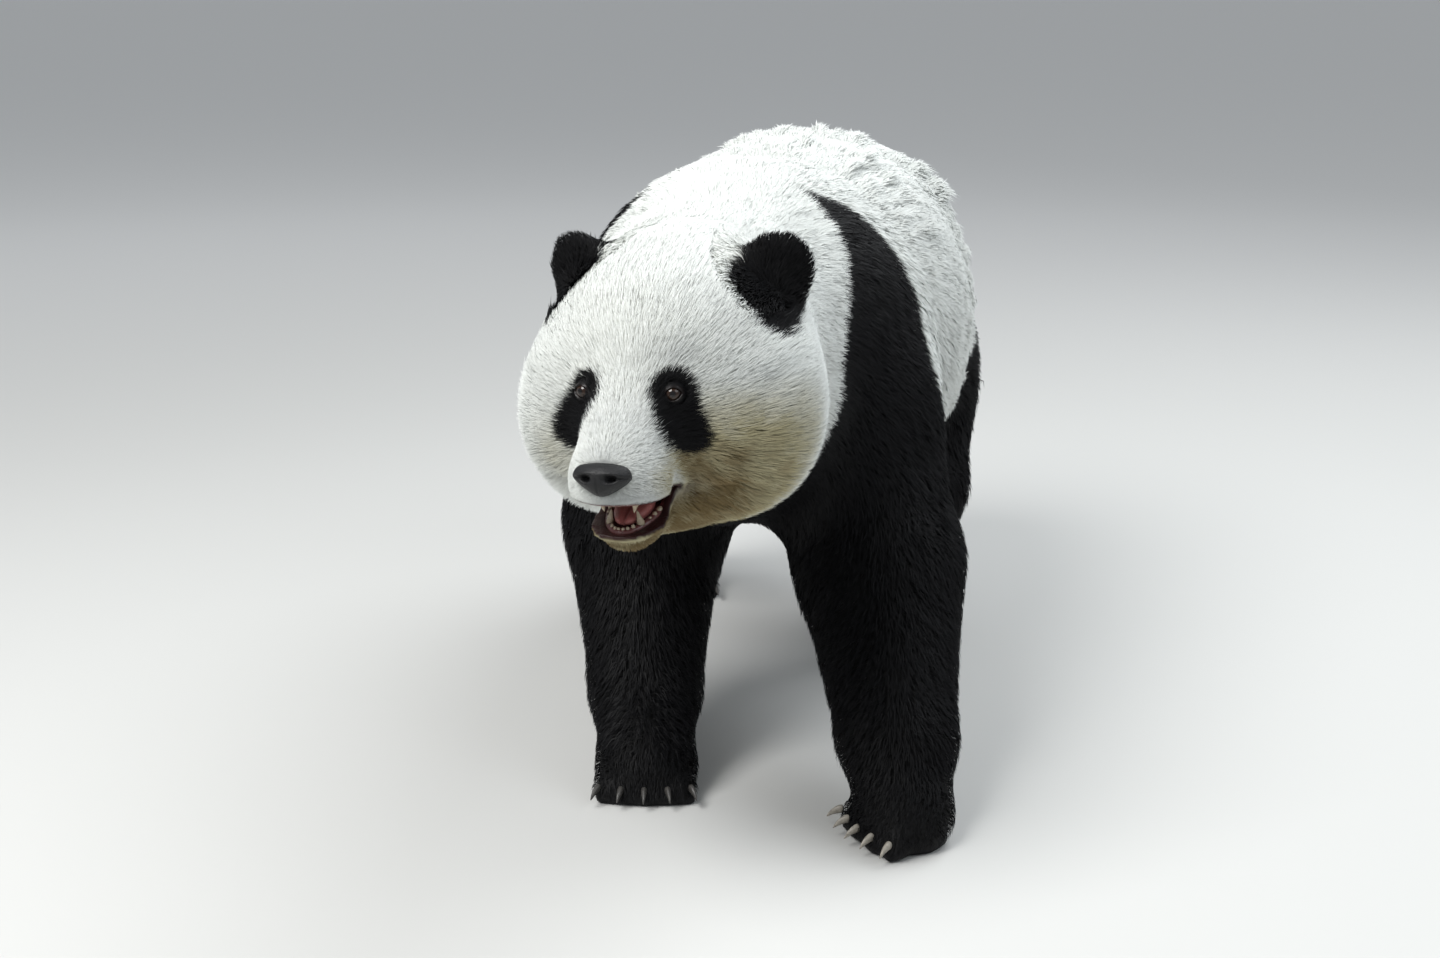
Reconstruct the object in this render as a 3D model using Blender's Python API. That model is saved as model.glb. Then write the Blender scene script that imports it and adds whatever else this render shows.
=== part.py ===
"""Life-size museum model of a giant panda, walking, with its head low and its mouth open.

Metres, +Z up. The animal faces -Y, its left side is +X, and it stands on the plane Z = 0.
Its outer form, to the tips of the coat, is one smooth field of body masses. That form is meshed
once, then parted with thin cuts into the pieces that a person would name.
"""

import math

import bmesh
import bpy
import numpy as np
from mathutils import Matrix, Vector

# ---------------------------------------------------------------- driving sizes
SHOULDER_HEIGHT = 0.770
BACK_HEIGHT = 0.766
BARREL_HALF_WIDTH = 0.250
GAP = 0.0006  # width of the thin cuts between the pieces
FIT = 0.0004  # clearance round a piece that is let into another
FORM_VOXEL = 0.0125  # mesh size of the whole form before it is thinned
HEAD_CENTRE = Vector((-0.052, -0.409, 0.579))
HEAD_SIZE = 1.05  # all lengths below in the head's own frame grow by this
HEAD_TURN = 9.0  # degrees to the animal's right
HEAD_PITCH = -3.0  # degrees, nose down is positive
HEAD_ROLL = 2.0
EYE_RADIUS = 0.0120
JAW_DROP = 17.0  # degrees that the mouth is open

LEFT, RIGHT = 1.0, -1.0
SIDES = {"left": LEFT, "right": RIGHT}

COLOURS = {
    "white_coat": (0.78, 0.77, 0.71),
    "black_coat": (0.012, 0.012, 0.014),
    "nose_leather": (0.02, 0.02, 0.022),
    "eye": (0.03, 0.015, 0.01),
    "mouth_flesh": (0.42, 0.16, 0.15),
    "tooth": (0.80, 0.74, 0.60),
    "claw": (0.45, 0.42, 0.38),
}
ROUGHNESS = {"nose_leather": 0.35, "eye": 0.05, "mouth_flesh": 0.35, "tooth": 0.25, "claw": 0.4}


# ---------------------------------------------------------------- body masses
class Ellipsoid:
    """One rounded mass of the body, with its own soft join to the masses before it."""

    def __init__(self, centre, radii, turn=(0, 0, 0), blend=0.05, frame=None):
        rotation = Matrix.Rotation(math.radians(turn[2]), 4, "Z")
        rotation @= Matrix.Rotation(math.radians(turn[1]), 4, "Y")
        rotation @= Matrix.Rotation(math.radians(turn[0]), 4, "X")
        self.matrix = (frame or Matrix.Identity(4)) @ Matrix.Translation(centre) @ rotation
        self.radii = np.array(radii, float)
        self.blend = blend
        self.size = self.matrix.median_scale

    def distance(self, points):
        inverse = np.array(self.matrix.inverted())
        local = points @ inverse[:3, :3].T + inverse[:3, 3]
        shell = np.linalg.norm(local / self.radii, axis=1)
        slope = np.linalg.norm(local / self.radii**2, axis=1)
        return self.size * shell * (shell - 1) / np.maximum(slope, 1e-9)

    def add_seed(self, mesh):
        place = self.matrix @ Matrix.Diagonal((*self.radii, 1))
        bmesh.ops.create_icosphere(mesh, subdivisions=3, radius=1, matrix=place)


class Limb:
    """A round tapered length between two joints."""

    def __init__(self, start, end, radius_start, radius_end, blend=0.03, frame=None):
        frame = frame or Matrix.Identity(4)
        self.start, self.end = frame @ Vector(start), frame @ Vector(end)
        self.radius_start = radius_start * frame.median_scale
        self.radius_end = radius_end * frame.median_scale
        self.blend = blend

    def distance(self, points):
        start, axis = np.array(self.start), np.array(self.end - self.start)
        share = np.clip((points - start) @ axis / (axis @ axis), 0, 1)
        nearest = start + share[:, None] * axis
        radius = self.radius_start + (self.radius_end - self.radius_start) * share
        return np.linalg.norm(points - nearest, axis=1) - radius

    def add_seed(self, mesh):
        length = (self.end - self.start).length
        steps = max(2, math.ceil(length / (0.5 * min(self.radius_start, self.radius_end))))
        for i in range(steps + 1):
            share = i / steps
            radius = self.radius_start + (self.radius_end - self.radius_start) * share
            place = Matrix.Translation(self.start.lerp(self.end, share))
            bmesh.ops.create_icosphere(mesh, subdivisions=2, radius=radius, matrix=place)


def soft_join(first, second, blend):
    overlap = np.clip(0.5 + 0.5 * (second - first) / blend, 0, 1)
    return second * (1 - overlap) + first * overlap - blend * overlap * (1 - overlap)


def field(points, masses):
    """Signed distance to the joined masses, negative inside."""
    total = masses[0].distance(points)
    for mass in masses[1:]:
        total = soft_join(total, mass.distance(points), mass.blend)
    return total


# ---------------------------------------------------------------- the head's own frame
def head_frame():
    turn = Matrix.Rotation(math.radians(-HEAD_TURN), 4, "Z")
    pitch = Matrix.Rotation(math.radians(HEAD_PITCH), 4, "X")
    roll = Matrix.Rotation(math.radians(-HEAD_ROLL), 4, "Y")
    return Matrix.Translation(HEAD_CENTRE) @ turn @ pitch @ roll @ Matrix.Scale(HEAD_SIZE, 4)


HEAD = head_frame()
JAW_HINGE = Vector((0, -0.030, -0.080))
MOUTH_ROOF = Vector((0, -0.045, 1))
JAW = HEAD @ Matrix.Translation(JAW_HINGE) @ Matrix.Rotation(math.radians(JAW_DROP), 4, "X")
EYE = Vector((0.0435, -0.2, 0.010))  # its place on the face; its depth comes from the face
EYE_DEPTH = 0.0090  # of the eye's centre below the tips of the coat
EAR = Vector((0.104, 0.024, 0.112))
NOSE = Vector((0, -0.213, -0.058))


def mirrored(point, side):
    return Vector((point[0] * side, point[1], point[2]))


def head_masses():
    masses = [
        Ellipsoid((0, 0.015, 0.028), (0.128, 0.142, 0.122), frame=HEAD),
        Ellipsoid((0, -0.062, 0.040), (0.090, 0.075, 0.074), blend=0.05, frame=HEAD),
        Ellipsoid((0, 0.010, -0.080), (0.100, 0.115, 0.068), blend=0.05, frame=HEAD),
    ]
    for side in SIDES.values():
        masses.append(
            Ellipsoid(
                (0.080 * side, -0.004, -0.030), (0.079, 0.102, 0.091), blend=0.06, frame=HEAD
            )
        )
    masses += [
        Limb((0, -0.080, -0.010), (0, -0.170, -0.049), 0.065, 0.042, blend=0.035, frame=HEAD),
        Ellipsoid((0, -0.166, -0.070), (0.052, 0.047, 0.034), blend=0.020, frame=HEAD),
        Ellipsoid((0, -0.196, -0.056), (0.031, 0.024, 0.026), blend=0.012, frame=HEAD),
    ]
    return masses


def jaw_masses():
    """The lower jaw, in a frame that turns about the jaw's hinge."""
    return [
        Limb((0, -0.020, -0.012), (0, -0.116, -0.002), 0.050, 0.027, blend=0.03, frame=JAW),
        Ellipsoid((0, -0.118, -0.002), (0.037, 0.036, 0.022), blend=0.02, frame=JAW),
    ]


def ear_masses(side):
    tilt = (10, 24 * side, 24 * side)
    return [
        Ellipsoid(mirrored(EAR, side), (0.044, 0.020, 0.046), turn=tilt, blend=0.012, frame=HEAD),
        Limb(
            mirrored((0.080, 0.020, 0.064), side),
            mirrored((0.096, 0.024, 0.092), side),
            0.030,
            0.022,
            blend=0.018,
            frame=HEAD,
        ),
    ]


# ---------------------------------------------------------------- neck, trunk and tail
def trunk_masses():
    half = BARREL_HALF_WIDTH
    chest = SHOULDER_HEIGHT - 0.215
    masses = [
        Ellipsoid((-0.024, 0.035, chest + 0.010), (0.186, 0.225, 0.203)),
        Ellipsoid((-0.006, 0.395, 0.462), (0.215, 0.270, 0.176), blend=0.08),
        Ellipsoid((-0.015, -0.060, 0.485), (0.160, 0.155, 0.140), blend=0.08),
    ]
    for side in SIDES.values():
        masses += [
            Ellipsoid(
                (0.055 * side, 0.310, BACK_HEIGHT - 0.240),
                (half - 0.055, 0.340, 0.238),
                blend=0.09,
            ),
            Ellipsoid((0.050 * side, 0.580, 0.520), (half - 0.062, 0.225, 0.232), blend=0.09),
            Ellipsoid((0.098 * side, 0.590, 0.430), (0.112, 0.160, 0.158), blend=0.06),
            Ellipsoid((0.100 * side - 0.015, 0.020, 0.490), (0.108, 0.135, 0.180), blend=0.06),
        ]
    return masses


def neck_masses():
    return [
        Limb((-0.047, -0.040, 0.595), (-0.053, -0.310, 0.594), 0.165, 0.146, blend=0.09),
        Ellipsoid((-0.045, -0.160, 0.505), (0.145, 0.170, 0.145), blend=0.06),
    ]


def tail_masses():
    return [Limb((0, 0.775, 0.505), (0, 0.815, 0.415), 0.044, 0.034, blend=0.04)]


# ---------------------------------------------------------------- legs
# For each leg: shoulder or hip, elbow or knee, wrist or heel, then where the sole's middle stands
# and how far the foot is turned in, in degrees.
FORELEGS = {
    "right": {
        "joints": [(-0.153, 0.010, 0.430), (-0.160, 0.012, 0.300), (-0.144, -0.085, 0.105)],
        "foot": (-0.129, -0.166),
        "turn_in": 7.0,
    },
    "left": {
        "joints": [(0.116, -0.020, 0.450), (0.155, -0.085, 0.285), (0.190, -0.222, 0.110)],
        "foot": (0.200, -0.266),
        "turn_in": 57.0,
    },
}
HINDLEGS = {
    "right": {
        "joints": [(-0.150, 0.605, 0.380), (-0.178, 0.575, 0.250), (-0.2150, 0.720, 0.100)],
        "foot": (-0.2171, 0.700),
        "turn_in": 4.0,
    },
    "left": {
        "joints": [(0.140, 0.560, 0.380), (0.158, 0.470, 0.250), (0.166, 0.560, 0.100)],
        "foot": (0.166, 0.525),
        "turn_in": 12.0,
    },
}
FORELEG_RADII = (0.106, 0.108, 0.073)
HINDLEG_RADII = (0.122, 0.096, 0.064)
TOES = 5
TOE_SPREAD = 26.0  # degrees between the outer toe and the foot's middle line
FORE_SOLE = {"half_width": 0.065, "half_length": 0.053, "height": 0.062, "toe": 0.0205}
HIND_SOLE = {"half_width": 0.062, "half_length": 0.096, "height": 0.058, "toe": 0.0195}
CLAW_LENGTH = 0.0235
CLAW_RADIUS = 0.0060


def foot_frame(foot, side, turn_in):
    """A frame on the floor under the foot, with -Y towards the toes."""
    return Matrix.Translation((*foot, 0)) @ Matrix.Rotation(math.radians(-turn_in * side), 4, "Z")


def toe_places(sole):
    """(place, direction angle) of each toe's middle in the foot's frame, from outer to inner."""
    places = []
    for i in range(TOES):
        share = 2 * i / (TOES - 1) - 1
        angle = math.radians(TOE_SPREAD * share)
        reach = sole["half_length"] * (0.93 - 0.16 * share * share)
        across = share * (sole["half_width"] - 0.6 * sole["toe"])
        places.append((Vector((across, -reach, 0.86 * sole["toe"])), angle))
    return places


def foot_masses(foot, side, turn_in, sole):
    frame = foot_frame(foot, side, turn_in)
    half_width, half_length, height = sole["half_width"], sole["half_length"], sole["height"]
    masses = [
        Ellipsoid(
            (0, 0.10 * half_length, 0.42 * height),
            (half_width, half_length, 0.62 * height),
            blend=0.035,
            frame=frame,
        )
    ]
    for place, angle in toe_places(sole):
        back = place + Vector((-math.sin(angle), math.cos(angle), 0.25)) * 1.2 * sole["toe"]
        masses.append(Limb(back, place, sole["toe"], 0.94 * sole["toe"], blend=0.009, frame=frame))
    return masses


def leg_masses(leg, radii, side, sole):
    top, middle, end = leg["joints"]
    foot = leg["foot"]
    return [
        Limb(top, middle, radii[0], radii[1], blend=0.07),
        Limb(middle, end, radii[1], radii[2], blend=0.02),
        Limb(end, (foot[0], foot[1], 0.055), radii[2], 0.8 * radii[2], blend=0.02),
        *foot_masses(foot, side, leg["turn_in"], sole),
    ]


def body_masses():
    masses = trunk_masses() + neck_masses() + head_masses() + jaw_masses() + tail_masses()
    for name, side in SIDES.items():
        masses += ear_masses(side)
        masses += leg_masses(FORELEGS[name], FORELEG_RADII, side, FORE_SOLE)
        masses += leg_masses(HINDLEGS[name], HINDLEG_RADII, side, HIND_SOLE)
    return masses


def behind_face(point, depth, masses):
    """The place straight behind a point before the face, at a depth below the form's surface."""
    ahead, inside = point.copy(), Vector((point.x, 0.0, point.z))
    for _ in range(40):
        middle = (ahead + inside) / 2
        if field(np.array([HEAD @ middle]), masses)[0] > -depth:
            ahead = middle
        else:
            inside = middle
    return HEAD @ inside


# ---------------------------------------------------------------- meshing the form
def apply_modifiers(obj):
    """Bakes the object's modifiers into a mesh of its own."""
    bpy.context.view_layer.update()
    graph = bpy.context.evaluated_depsgraph_get()
    made = bpy.data.meshes.new_from_object(obj.evaluated_get(graph))
    obj.modifiers.clear()
    old, obj.data = obj.data, made
    bpy.data.meshes.remove(old)


def object_from(mesh, name):
    data = bpy.data.meshes.new(name)
    mesh.to_mesh(data)
    mesh.free()
    obj = bpy.data.objects.new(name, data)
    bpy.context.scene.collection.objects.link(obj)
    return obj


def remesh(obj, voxel):
    modifier = obj.modifiers.new("even_skin", "REMESH")
    modifier.mode = "VOXEL"
    modifier.voxel_size = voxel
    apply_modifiers(obj)


def pull_to_field(obj, masses, rounds):
    """Moves each vertex along the field's slope until it lies on the form's surface."""
    step = 0.0005
    count = len(obj.data.vertices)
    points = np.empty(count * 3, np.float32)
    obj.data.vertices.foreach_get("co", points)
    points = points.reshape(-1, 3).astype(float)
    for _ in range(rounds):
        value = field(points, masses)
        slope = np.stack(
            [field(points + np.eye(3)[i] * step, masses) - value for i in range(3)], axis=1
        )
        slope /= np.maximum(np.linalg.norm(slope, axis=1, keepdims=True), 1e-9)
        points -= slope * np.clip(value, -0.012, 0.012)[:, None]
    obj.data.vertices.foreach_set("co", points.astype(np.float32).ravel())
    obj.data.update()


def make_form(masses):
    seeds = bmesh.new()
    for mass in masses:
        mass.add_seed(seeds)
    form = object_from(seeds, "form")
    remesh(form, FORM_VOXEL)
    pull_to_field(form, masses, 4)
    remesh(form, FORM_VOXEL)
    pull_to_field(form, masses, 3)
    return form


# ---------------------------------------------------------------- parting the form
def zone(planes, grow=0.0, name="zone"):
    """A large block cut down by planes. Each plane is (point, outward normal)."""
    mesh = bmesh.new()
    bmesh.ops.create_cube(mesh, size=4.0)
    for point, normal in planes:
        normal = Vector(normal).normalized()
        cut = bmesh.ops.bisect_plane(
            mesh,
            geom=mesh.verts[:] + mesh.edges[:] + mesh.faces[:],
            plane_co=Vector(point) + normal * grow,
            plane_no=normal,
            clear_outer=True,
        )
        edges = [e for e in cut["geom_cut"] if isinstance(e, bmesh.types.BMEdge)]
        bmesh.ops.contextual_create(mesh, geom=edges)
    bmesh.ops.recalc_face_normals(mesh, faces=mesh.faces[:])
    return helper(object_from(mesh, name))


def helper(obj):
    obj.hide_render = True
    obj.display_type = "WIRE"
    return obj


def combine(obj, other, operation):
    modifier = obj.modifiers.new(operation.lower(), "BOOLEAN")
    modifier.operation = operation
    modifier.solver = "EXACT"
    modifier.object = other
    apply_modifiers(obj)
    bpy.data.objects.remove(other)


def keep_largest(obj):
    """Drops the crumbs that a cut leaves, keeping the largest connected piece."""
    mesh = bmesh.new()
    mesh.from_mesh(obj.data)
    islands, seen = [], set()
    for start in mesh.verts:
        if start in seen:
            continue
        island, stack = [], [start]
        seen.add(start)
        while stack:
            vert = stack.pop()
            island.append(vert)
            for edge in vert.link_edges:
                other = edge.other_vert(vert)
                if other not in seen:
                    seen.add(other)
                    stack.append(other)
        islands.append(island)
    islands.sort(key=len)
    for island in islands[:-1]:
        bmesh.ops.delete(mesh, geom=island, context="VERTS")
    mesh.to_mesh(obj.data)
    mesh.free()


def thinned(form, ratio, name):
    """A copy of the form with fewer triangles, kept where it curves most."""
    obj = bpy.data.objects.new(name, form.data.copy())
    bpy.context.scene.collection.objects.link(obj)
    modifier = obj.modifiers.new("thin", "DECIMATE")
    modifier.ratio = ratio
    modifier.use_collapse_triangulate = True
    apply_modifiers(obj)
    return obj


def plane_in(frame, point, normal):
    return frame @ Vector(point), (frame.to_3x3() @ Vector(normal)).normalized()


def turned_over(plane):
    point, normal = plane
    return point, -Vector(normal)


NECK_FRONT = plane_in(HEAD, (0, 0.120, 0.0), (0, 1, -0.22))
NECK_BACK = (Vector((0, -0.065, 0.762)), Vector((0, 1, -0.50)))
YOKE_BACK = (Vector((0, -0.020, 0.757)), Vector((0, 1, 0.76)))
NECK_FLOOR = (Vector((0, -0.2, 0.415)), Vector((0, 0.35, -1)))


def head_zone():
    return [NECK_FRONT, (Vector((0, 0, 0.400)), Vector((0, 0, -1)))]


def neck_zone():
    return [turned_over(NECK_FRONT), NECK_BACK, NECK_FLOOR]


def yoke_zone():
    """The band over the shoulders, narrow on the spine and wide above the forelegs."""
    return [turned_over(NECK_BACK), YOKE_BACK, (Vector((0, 0.185, 0)), Vector((0, 1, 0)))]


def jaw_zone():
    """Below the open mouth's lower side, and in front of the jaw's hinge."""
    top = plane_in(JAW, (0, 0, 0), (0, 0, 1))
    back = plane_in(JAW, (0, -0.052, 0), (0, 1, -0.45))
    sides = [
        plane_in(HEAD, mirrored((0.054, -0.100, 0), side), mirrored((0.90, 0.42, 0), side))
        for side in SIDES.values()
    ]
    return [top, back, *sides]


def ear_zone(side):
    base = plane_in(HEAD, mirrored((0.078, 0.026, 0.104), side), mirrored((-0.78, 0, -0.62), side))
    under = plane_in(HEAD, mirrored((0.100, 0, 0.072), side), mirrored((0.25, 0, -1), side))
    return [base, under, plane_in(HEAD, (0, 0.095, 0), (0, 1, 0))]


def foreleg_zone(side):
    top = (Vector((0.060 * side, 0, 0.365)), Vector((-0.42 * side, 0, 1)))
    middle = (Vector((0.006 * side, 0, 0)), Vector((-side, 0, 0)))
    back = (Vector((0, 0.185, 0)), Vector((0, 1, 0)))
    return [top, middle, back]


def hindleg_zone(side):
    top = (Vector((0.050 * side, 0, 0.300)), Vector((-0.40 * side, 0, 1)))
    middle = (Vector((0.006 * side, 0, 0)), Vector((-side, 0, 0)))
    front = (Vector((0, 0.330, 0)), Vector((0, -1, 0)))
    return [top, middle, front]


def paw_top(leg):
    """The cut across the wrist or the heel, square to the leg there."""
    end = Vector(leg["joints"][2])
    lean = Vector((0, -0.25, 1))
    return end + Vector((0, 0, -0.004)), lean


def tail_zone():
    return [(Vector((0, 0.797, 0.45)), Vector((0, -1, 0.12))), (Vector((0, 0, 0.34)), Vector((0, 0, -1)))]


FLOOR = (Vector((0, 0, -GAP / 2)), Vector((0, 0, -1)))


def mouth_wedge():
    """The open mouth: a wedge from behind the corners of the lips out past the nose."""
    upper = plane_in(HEAD, JAW_HINGE, MOUTH_ROOF)
    lower = plane_in(JAW, (0, 0, 0), (0, 0, -1))
    sides = [
        plane_in(HEAD, mirrored((0.038, -0.100, 0), side), mirrored((0.90, 0.42, 0), side))
        for side in SIDES.values()
    ]
    return [upper, lower, plane_in(HEAD, (0, -0.058, 0), (0, 1, 0)), *sides]


# ---------------------------------------------------------------- let-in pieces
def ball(name, centre, radius, grow=0.0, subdivisions=2):
    mesh = bmesh.new()
    place = Matrix.Translation(centre)
    bmesh.ops.create_icosphere(mesh, subdivisions=subdivisions, radius=radius + grow, matrix=place)
    return object_from(mesh, name)


def nose_pad(name, grow=0.0):
    """The leather of the nose: a rounded wedge, broad above and narrow below."""
    mesh = bmesh.new()
    bmesh.ops.create_uvsphere(mesh, u_segments=14, v_segments=9, radius=1)
    for vert in mesh.verts:
        x, y, z = vert.co
        taper = 1.0 - 0.30 * max(0.0, -z)
        vert.co = Vector((x * (0.0270 + grow) * taper, y * (0.0170 + grow), z * (0.0185 + grow)))
    mesh.transform(HEAD @ Matrix.Translation(NOSE) @ Matrix.Rotation(math.radians(-14), 4, "X"))
    return object_from(mesh, name)


def tongue(name):
    """A thick leaf with a shallow groove, lying on the floor of the mouth."""
    mesh = bmesh.new()
    bmesh.ops.create_uvsphere(mesh, u_segments=14, v_segments=8, radius=1)
    for vert in mesh.verts:
        x, y, z = vert.co
        groove = 0.16 * math.exp(-((x / 0.22) ** 2)) if z > 0 else 0.0
        taper = 1.0 + 0.16 * y
        vert.co = Vector((0.0178 * x * taper, -0.100 + 0.034 * y, 0.0125 * (z - groove)))
    mesh.transform(JAW)
    obj = object_from(mesh, name)
    combine(obj, zone([plane_in(JAW, (0, 0, FIT), (0, 0, -1))]), "INTERSECT")
    return obj


TEETH = {  # share of the way round the half arch: (height, radius at the gum, radius at the tip)
    0.09: (0.0065, 0.0027, 0.0020),
    0.26: (0.0070, 0.0029, 0.0020),
    0.45: (0.0165, 0.0044, 0.0009),
    0.60: (0.0070, 0.0034, 0.0022),
    0.73: (0.0075, 0.0038, 0.0026),
    0.86: (0.0075, 0.0038, 0.0026),
}
GUM_WIDTH = 0.0046
GUM_HEIGHT = 0.0050


def arch_point(arch, share):
    """A place on the horseshoe of the gum; share runs from -1 through 0 in front to 1."""
    half_width, back, front = arch
    angle = share * math.pi / 2
    return Vector((half_width * math.sin(angle), front + (back - front) * (1 - math.cos(angle)), 0))


def gum(name, frame, arch):
    """A horseshoe of gum with its teeth: small front teeth, long canines and blunt cheek teeth."""
    mesh = bmesh.new()
    steps = 11
    rings = []
    for i in range(steps + 1):
        share = 2 * i / steps - 1
        spot = arch_point(arch, share)
        along = (arch_point(arch, share + 0.01) - arch_point(arch, share - 0.01)).normalized()
        across = Vector((along.y, -along.x, 0))
        half = GUM_WIDTH / 2
        section = [(-1.0, 0), (-0.7, 1), (0.7, 1), (1.0, 0)]
        ring = [spot + across * half * u + Vector((0, 0, GUM_HEIGHT * v)) for u, v in section]
        rings.append([mesh.verts.new(place) for place in ring])
    for first, second in zip(rings, rings[1:]):
        for i in range(len(first)):
            j = (i + 1) % len(first)
            mesh.faces.new((first[i], first[j], second[j], second[i]))
    mesh.faces.new(rings[0])
    mesh.faces.new(rings[-1])
    bmesh.ops.recalc_face_normals(mesh, faces=mesh.faces[:])
    mesh.transform(frame)
    obj = object_from(mesh, name)
    teeth = bmesh.new()
    for side in SIDES.values():
        for share, (height, wide, tip) in TEETH.items():
            middle = 0.5 * (GUM_HEIGHT + height)
            bmesh.ops.create_cone(
                teeth,
                cap_ends=True,
                segments=5,
                radius1=wide,
                radius2=tip,
                depth=height,
                matrix=Matrix.Translation(arch_point(arch, side * share) + Vector((0, 0, middle))),
            )
    bmesh.ops.recalc_face_normals(teeth, faces=teeth.faces[:])
    teeth.transform(frame)
    combine(obj, helper(object_from(teeth, "teeth")), "UNION")
    return obj


def claw(name, frame, grow=0.0):
    """A claw as a tapered bent horn, from inside the toe out and down."""
    sides, rings = 6, 4
    mesh = bmesh.new()
    last = None
    for i in range(rings):
        share = i / (rings - 1)
        bend = math.radians(10 + 46 * share)
        out = CLAW_LENGTH * share
        centre = Vector((0, -out * math.cos(bend * 0.5), -out * math.sin(bend * 0.5)))
        radius = CLAW_RADIUS * (1 - 0.86 * share**1.5) + grow
        place = Matrix.Translation(centre) @ Matrix.Rotation(math.pi / 2 + bend, 4, "X")
        place @= Matrix.Diagonal((0.82, 1.15, 1, 1))
        ring = bmesh.ops.create_circle(mesh, segments=sides, radius=radius, matrix=place)["verts"]
        if last:
            edges = [e for e in mesh.edges if all(v in last or v in ring for v in e.verts)]
            rim = [e for e in edges if len({v in ring for v in e.verts}) == 1]
            bmesh.ops.bridge_loops(mesh, edges=rim)
        last = ring
    bmesh.ops.holes_fill(mesh, edges=mesh.edges[:], sides=sides)
    bmesh.ops.recalc_face_normals(mesh, faces=mesh.faces[:])
    mesh.transform(frame)
    return object_from(mesh, name)


def claw_frames(leg, side, sole):
    frame = foot_frame(leg["foot"], side, leg["turn_in"])
    frames = []
    for place, angle in toe_places(sole):
        root = place + Vector((math.sin(angle), -math.cos(angle), 0)) * 0.45 * sole["toe"]
        root.z = 1.18 * sole["toe"]
        frames.append(frame @ Matrix.Translation(root) @ Matrix.Rotation(angle, 4, "Z"))
    return frames


# ---------------------------------------------------------------- materials
def material(name):
    found = bpy.data.materials.get(name)
    if found:
        return found
    made = bpy.data.materials.new(name)
    made.use_nodes = True
    shader = made.node_tree.nodes["Principled BSDF"]
    shader.inputs["Base Color"].default_value = (*COLOURS[name], 1)
    shader.inputs["Roughness"].default_value = ROUGHNESS.get(name, 0.9)
    return made


def finish_piece(obj, material_name):
    obj.data.materials.clear()
    obj.data.materials.append(material(material_name))
    obj.data.shade_smooth()
    obj.data.set_sharp_from_angle(angle=math.radians(50))


# ---------------------------------------------------------------- building it
for old in list(bpy.data.objects):
    bpy.data.objects.remove(old)

masses = body_masses()
form = make_form(masses)
combine(form, zone(mouth_wedge(), name="mouth"), "DIFFERENCE")
pieces = {}


def part_off(name, planes, ratio, material_name, without=()):
    obj = thinned(form, ratio, name)
    combine(obj, zone([*planes, FLOOR], -GAP / 2), "INTERSECT")
    for other in without:
        combine(obj, zone(other, GAP / 2), "DIFFERENCE")
    keep_largest(obj)
    add_piece(obj, material_name)


def add_piece(obj, material_name):
    finish_piece(obj, material_name)
    pieces[obj.name] = obj


legs = {}
for side_name, side in SIDES.items():
    legs["foreleg_" + side_name] = (FORELEGS[side_name], foreleg_zone(side), FORE_SOLE, side)
    legs["hindleg_" + side_name] = (HINDLEGS[side_name], hindleg_zone(side), HIND_SOLE, side)

for name, (leg, planes, sole, side) in legs.items():
    wrist = paw_top(leg)
    part_off(name, [*planes, turned_over(wrist)], 0.042, "black_coat")
    paw = name.replace("leg", "paw")
    part_off(paw, [*planes, wrist], 0.063, "black_coat")
    for i, frame in enumerate(claw_frames(leg, side, sole), 1):
        combine(pieces[paw], claw("cutter", frame, FIT), "DIFFERENCE")
        add_piece(claw(f"claw_{paw.replace('paw', '')}_{i}", frame), "claw")

leg_zones = [planes for _, planes, _, _ in legs.values()]
ears = {name: ear_zone(side) for name, side in SIDES.items()}
front_zones = [head_zone(), neck_zone(), yoke_zone()]
part_off("trunk", [], 0.045, "white_coat", [*front_zones, tail_zone(), *leg_zones])
part_off("tail", tail_zone(), 0.08, "white_coat")
part_off("shoulders", yoke_zone(), 0.050, "black_coat", [head_zone(), *leg_zones])
part_off("neck", neck_zone(), 0.050, "white_coat")
part_off("head", head_zone(), 0.134, "white_coat", [jaw_zone(), *ears.values()])
part_off("jaw", [*head_zone(), *jaw_zone()], 0.19, "white_coat")
for side_name, planes in ears.items():
    part_off("ear_" + side_name, [*head_zone(), *planes], 0.13, "black_coat")

for side_name, side in SIDES.items():
    centre = behind_face(mirrored(EYE, side), EYE_DEPTH, masses)
    combine(pieces["head"], ball("socket", centre, EYE_RADIUS, FIT), "DIFFERENCE")
    add_piece(ball("eye_" + side_name, centre, EYE_RADIUS), "eye")

combine(pieces["head"], nose_pad("nose_seat", FIT), "DIFFERENCE")
add_piece(nose_pad("nose"), "nose_leather")

LOWER_ARCH = (0.0265, -0.076, -0.144)  # half width, back, front
UPPER_ARCH = (0.0300, -0.072, -0.164)
lower_frame = JAW @ Matrix.Translation((0, 0, FIT))
upper_frame = HEAD @ Matrix.Translation(JAW_HINGE - FIT * MOUTH_ROOF)
upper_frame @= Matrix.Rotation(math.atan(-MOUTH_ROOF.y), 4, "X") @ Matrix.Rotation(math.pi, 4, "Y")
add_piece(tongue("tongue"), "mouth_flesh")
add_piece(gum("gum_lower", lower_frame, LOWER_ARCH), "mouth_flesh")
add_piece(gum("gum_upper", upper_frame, UPPER_ARCH), "mouth_flesh")
bpy.data.objects.remove(form)

# The origin is the middle of the whole animal's box, on the floor.
corners = np.array([obj.matrix_world @ Vector(c) for obj in pieces.values() for c in obj.bound_box])
middle = (corners.min(axis=0) + corners.max(axis=0)) / 2
for obj in pieces.values():
    obj.data.transform(Matrix.Translation((-middle[0], -middle[1], 0)))
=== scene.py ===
import math

import bmesh
import bpy
import numpy as np
from mathutils import Matrix, Vector
from mathutils.bvhtree import BVHTree


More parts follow.
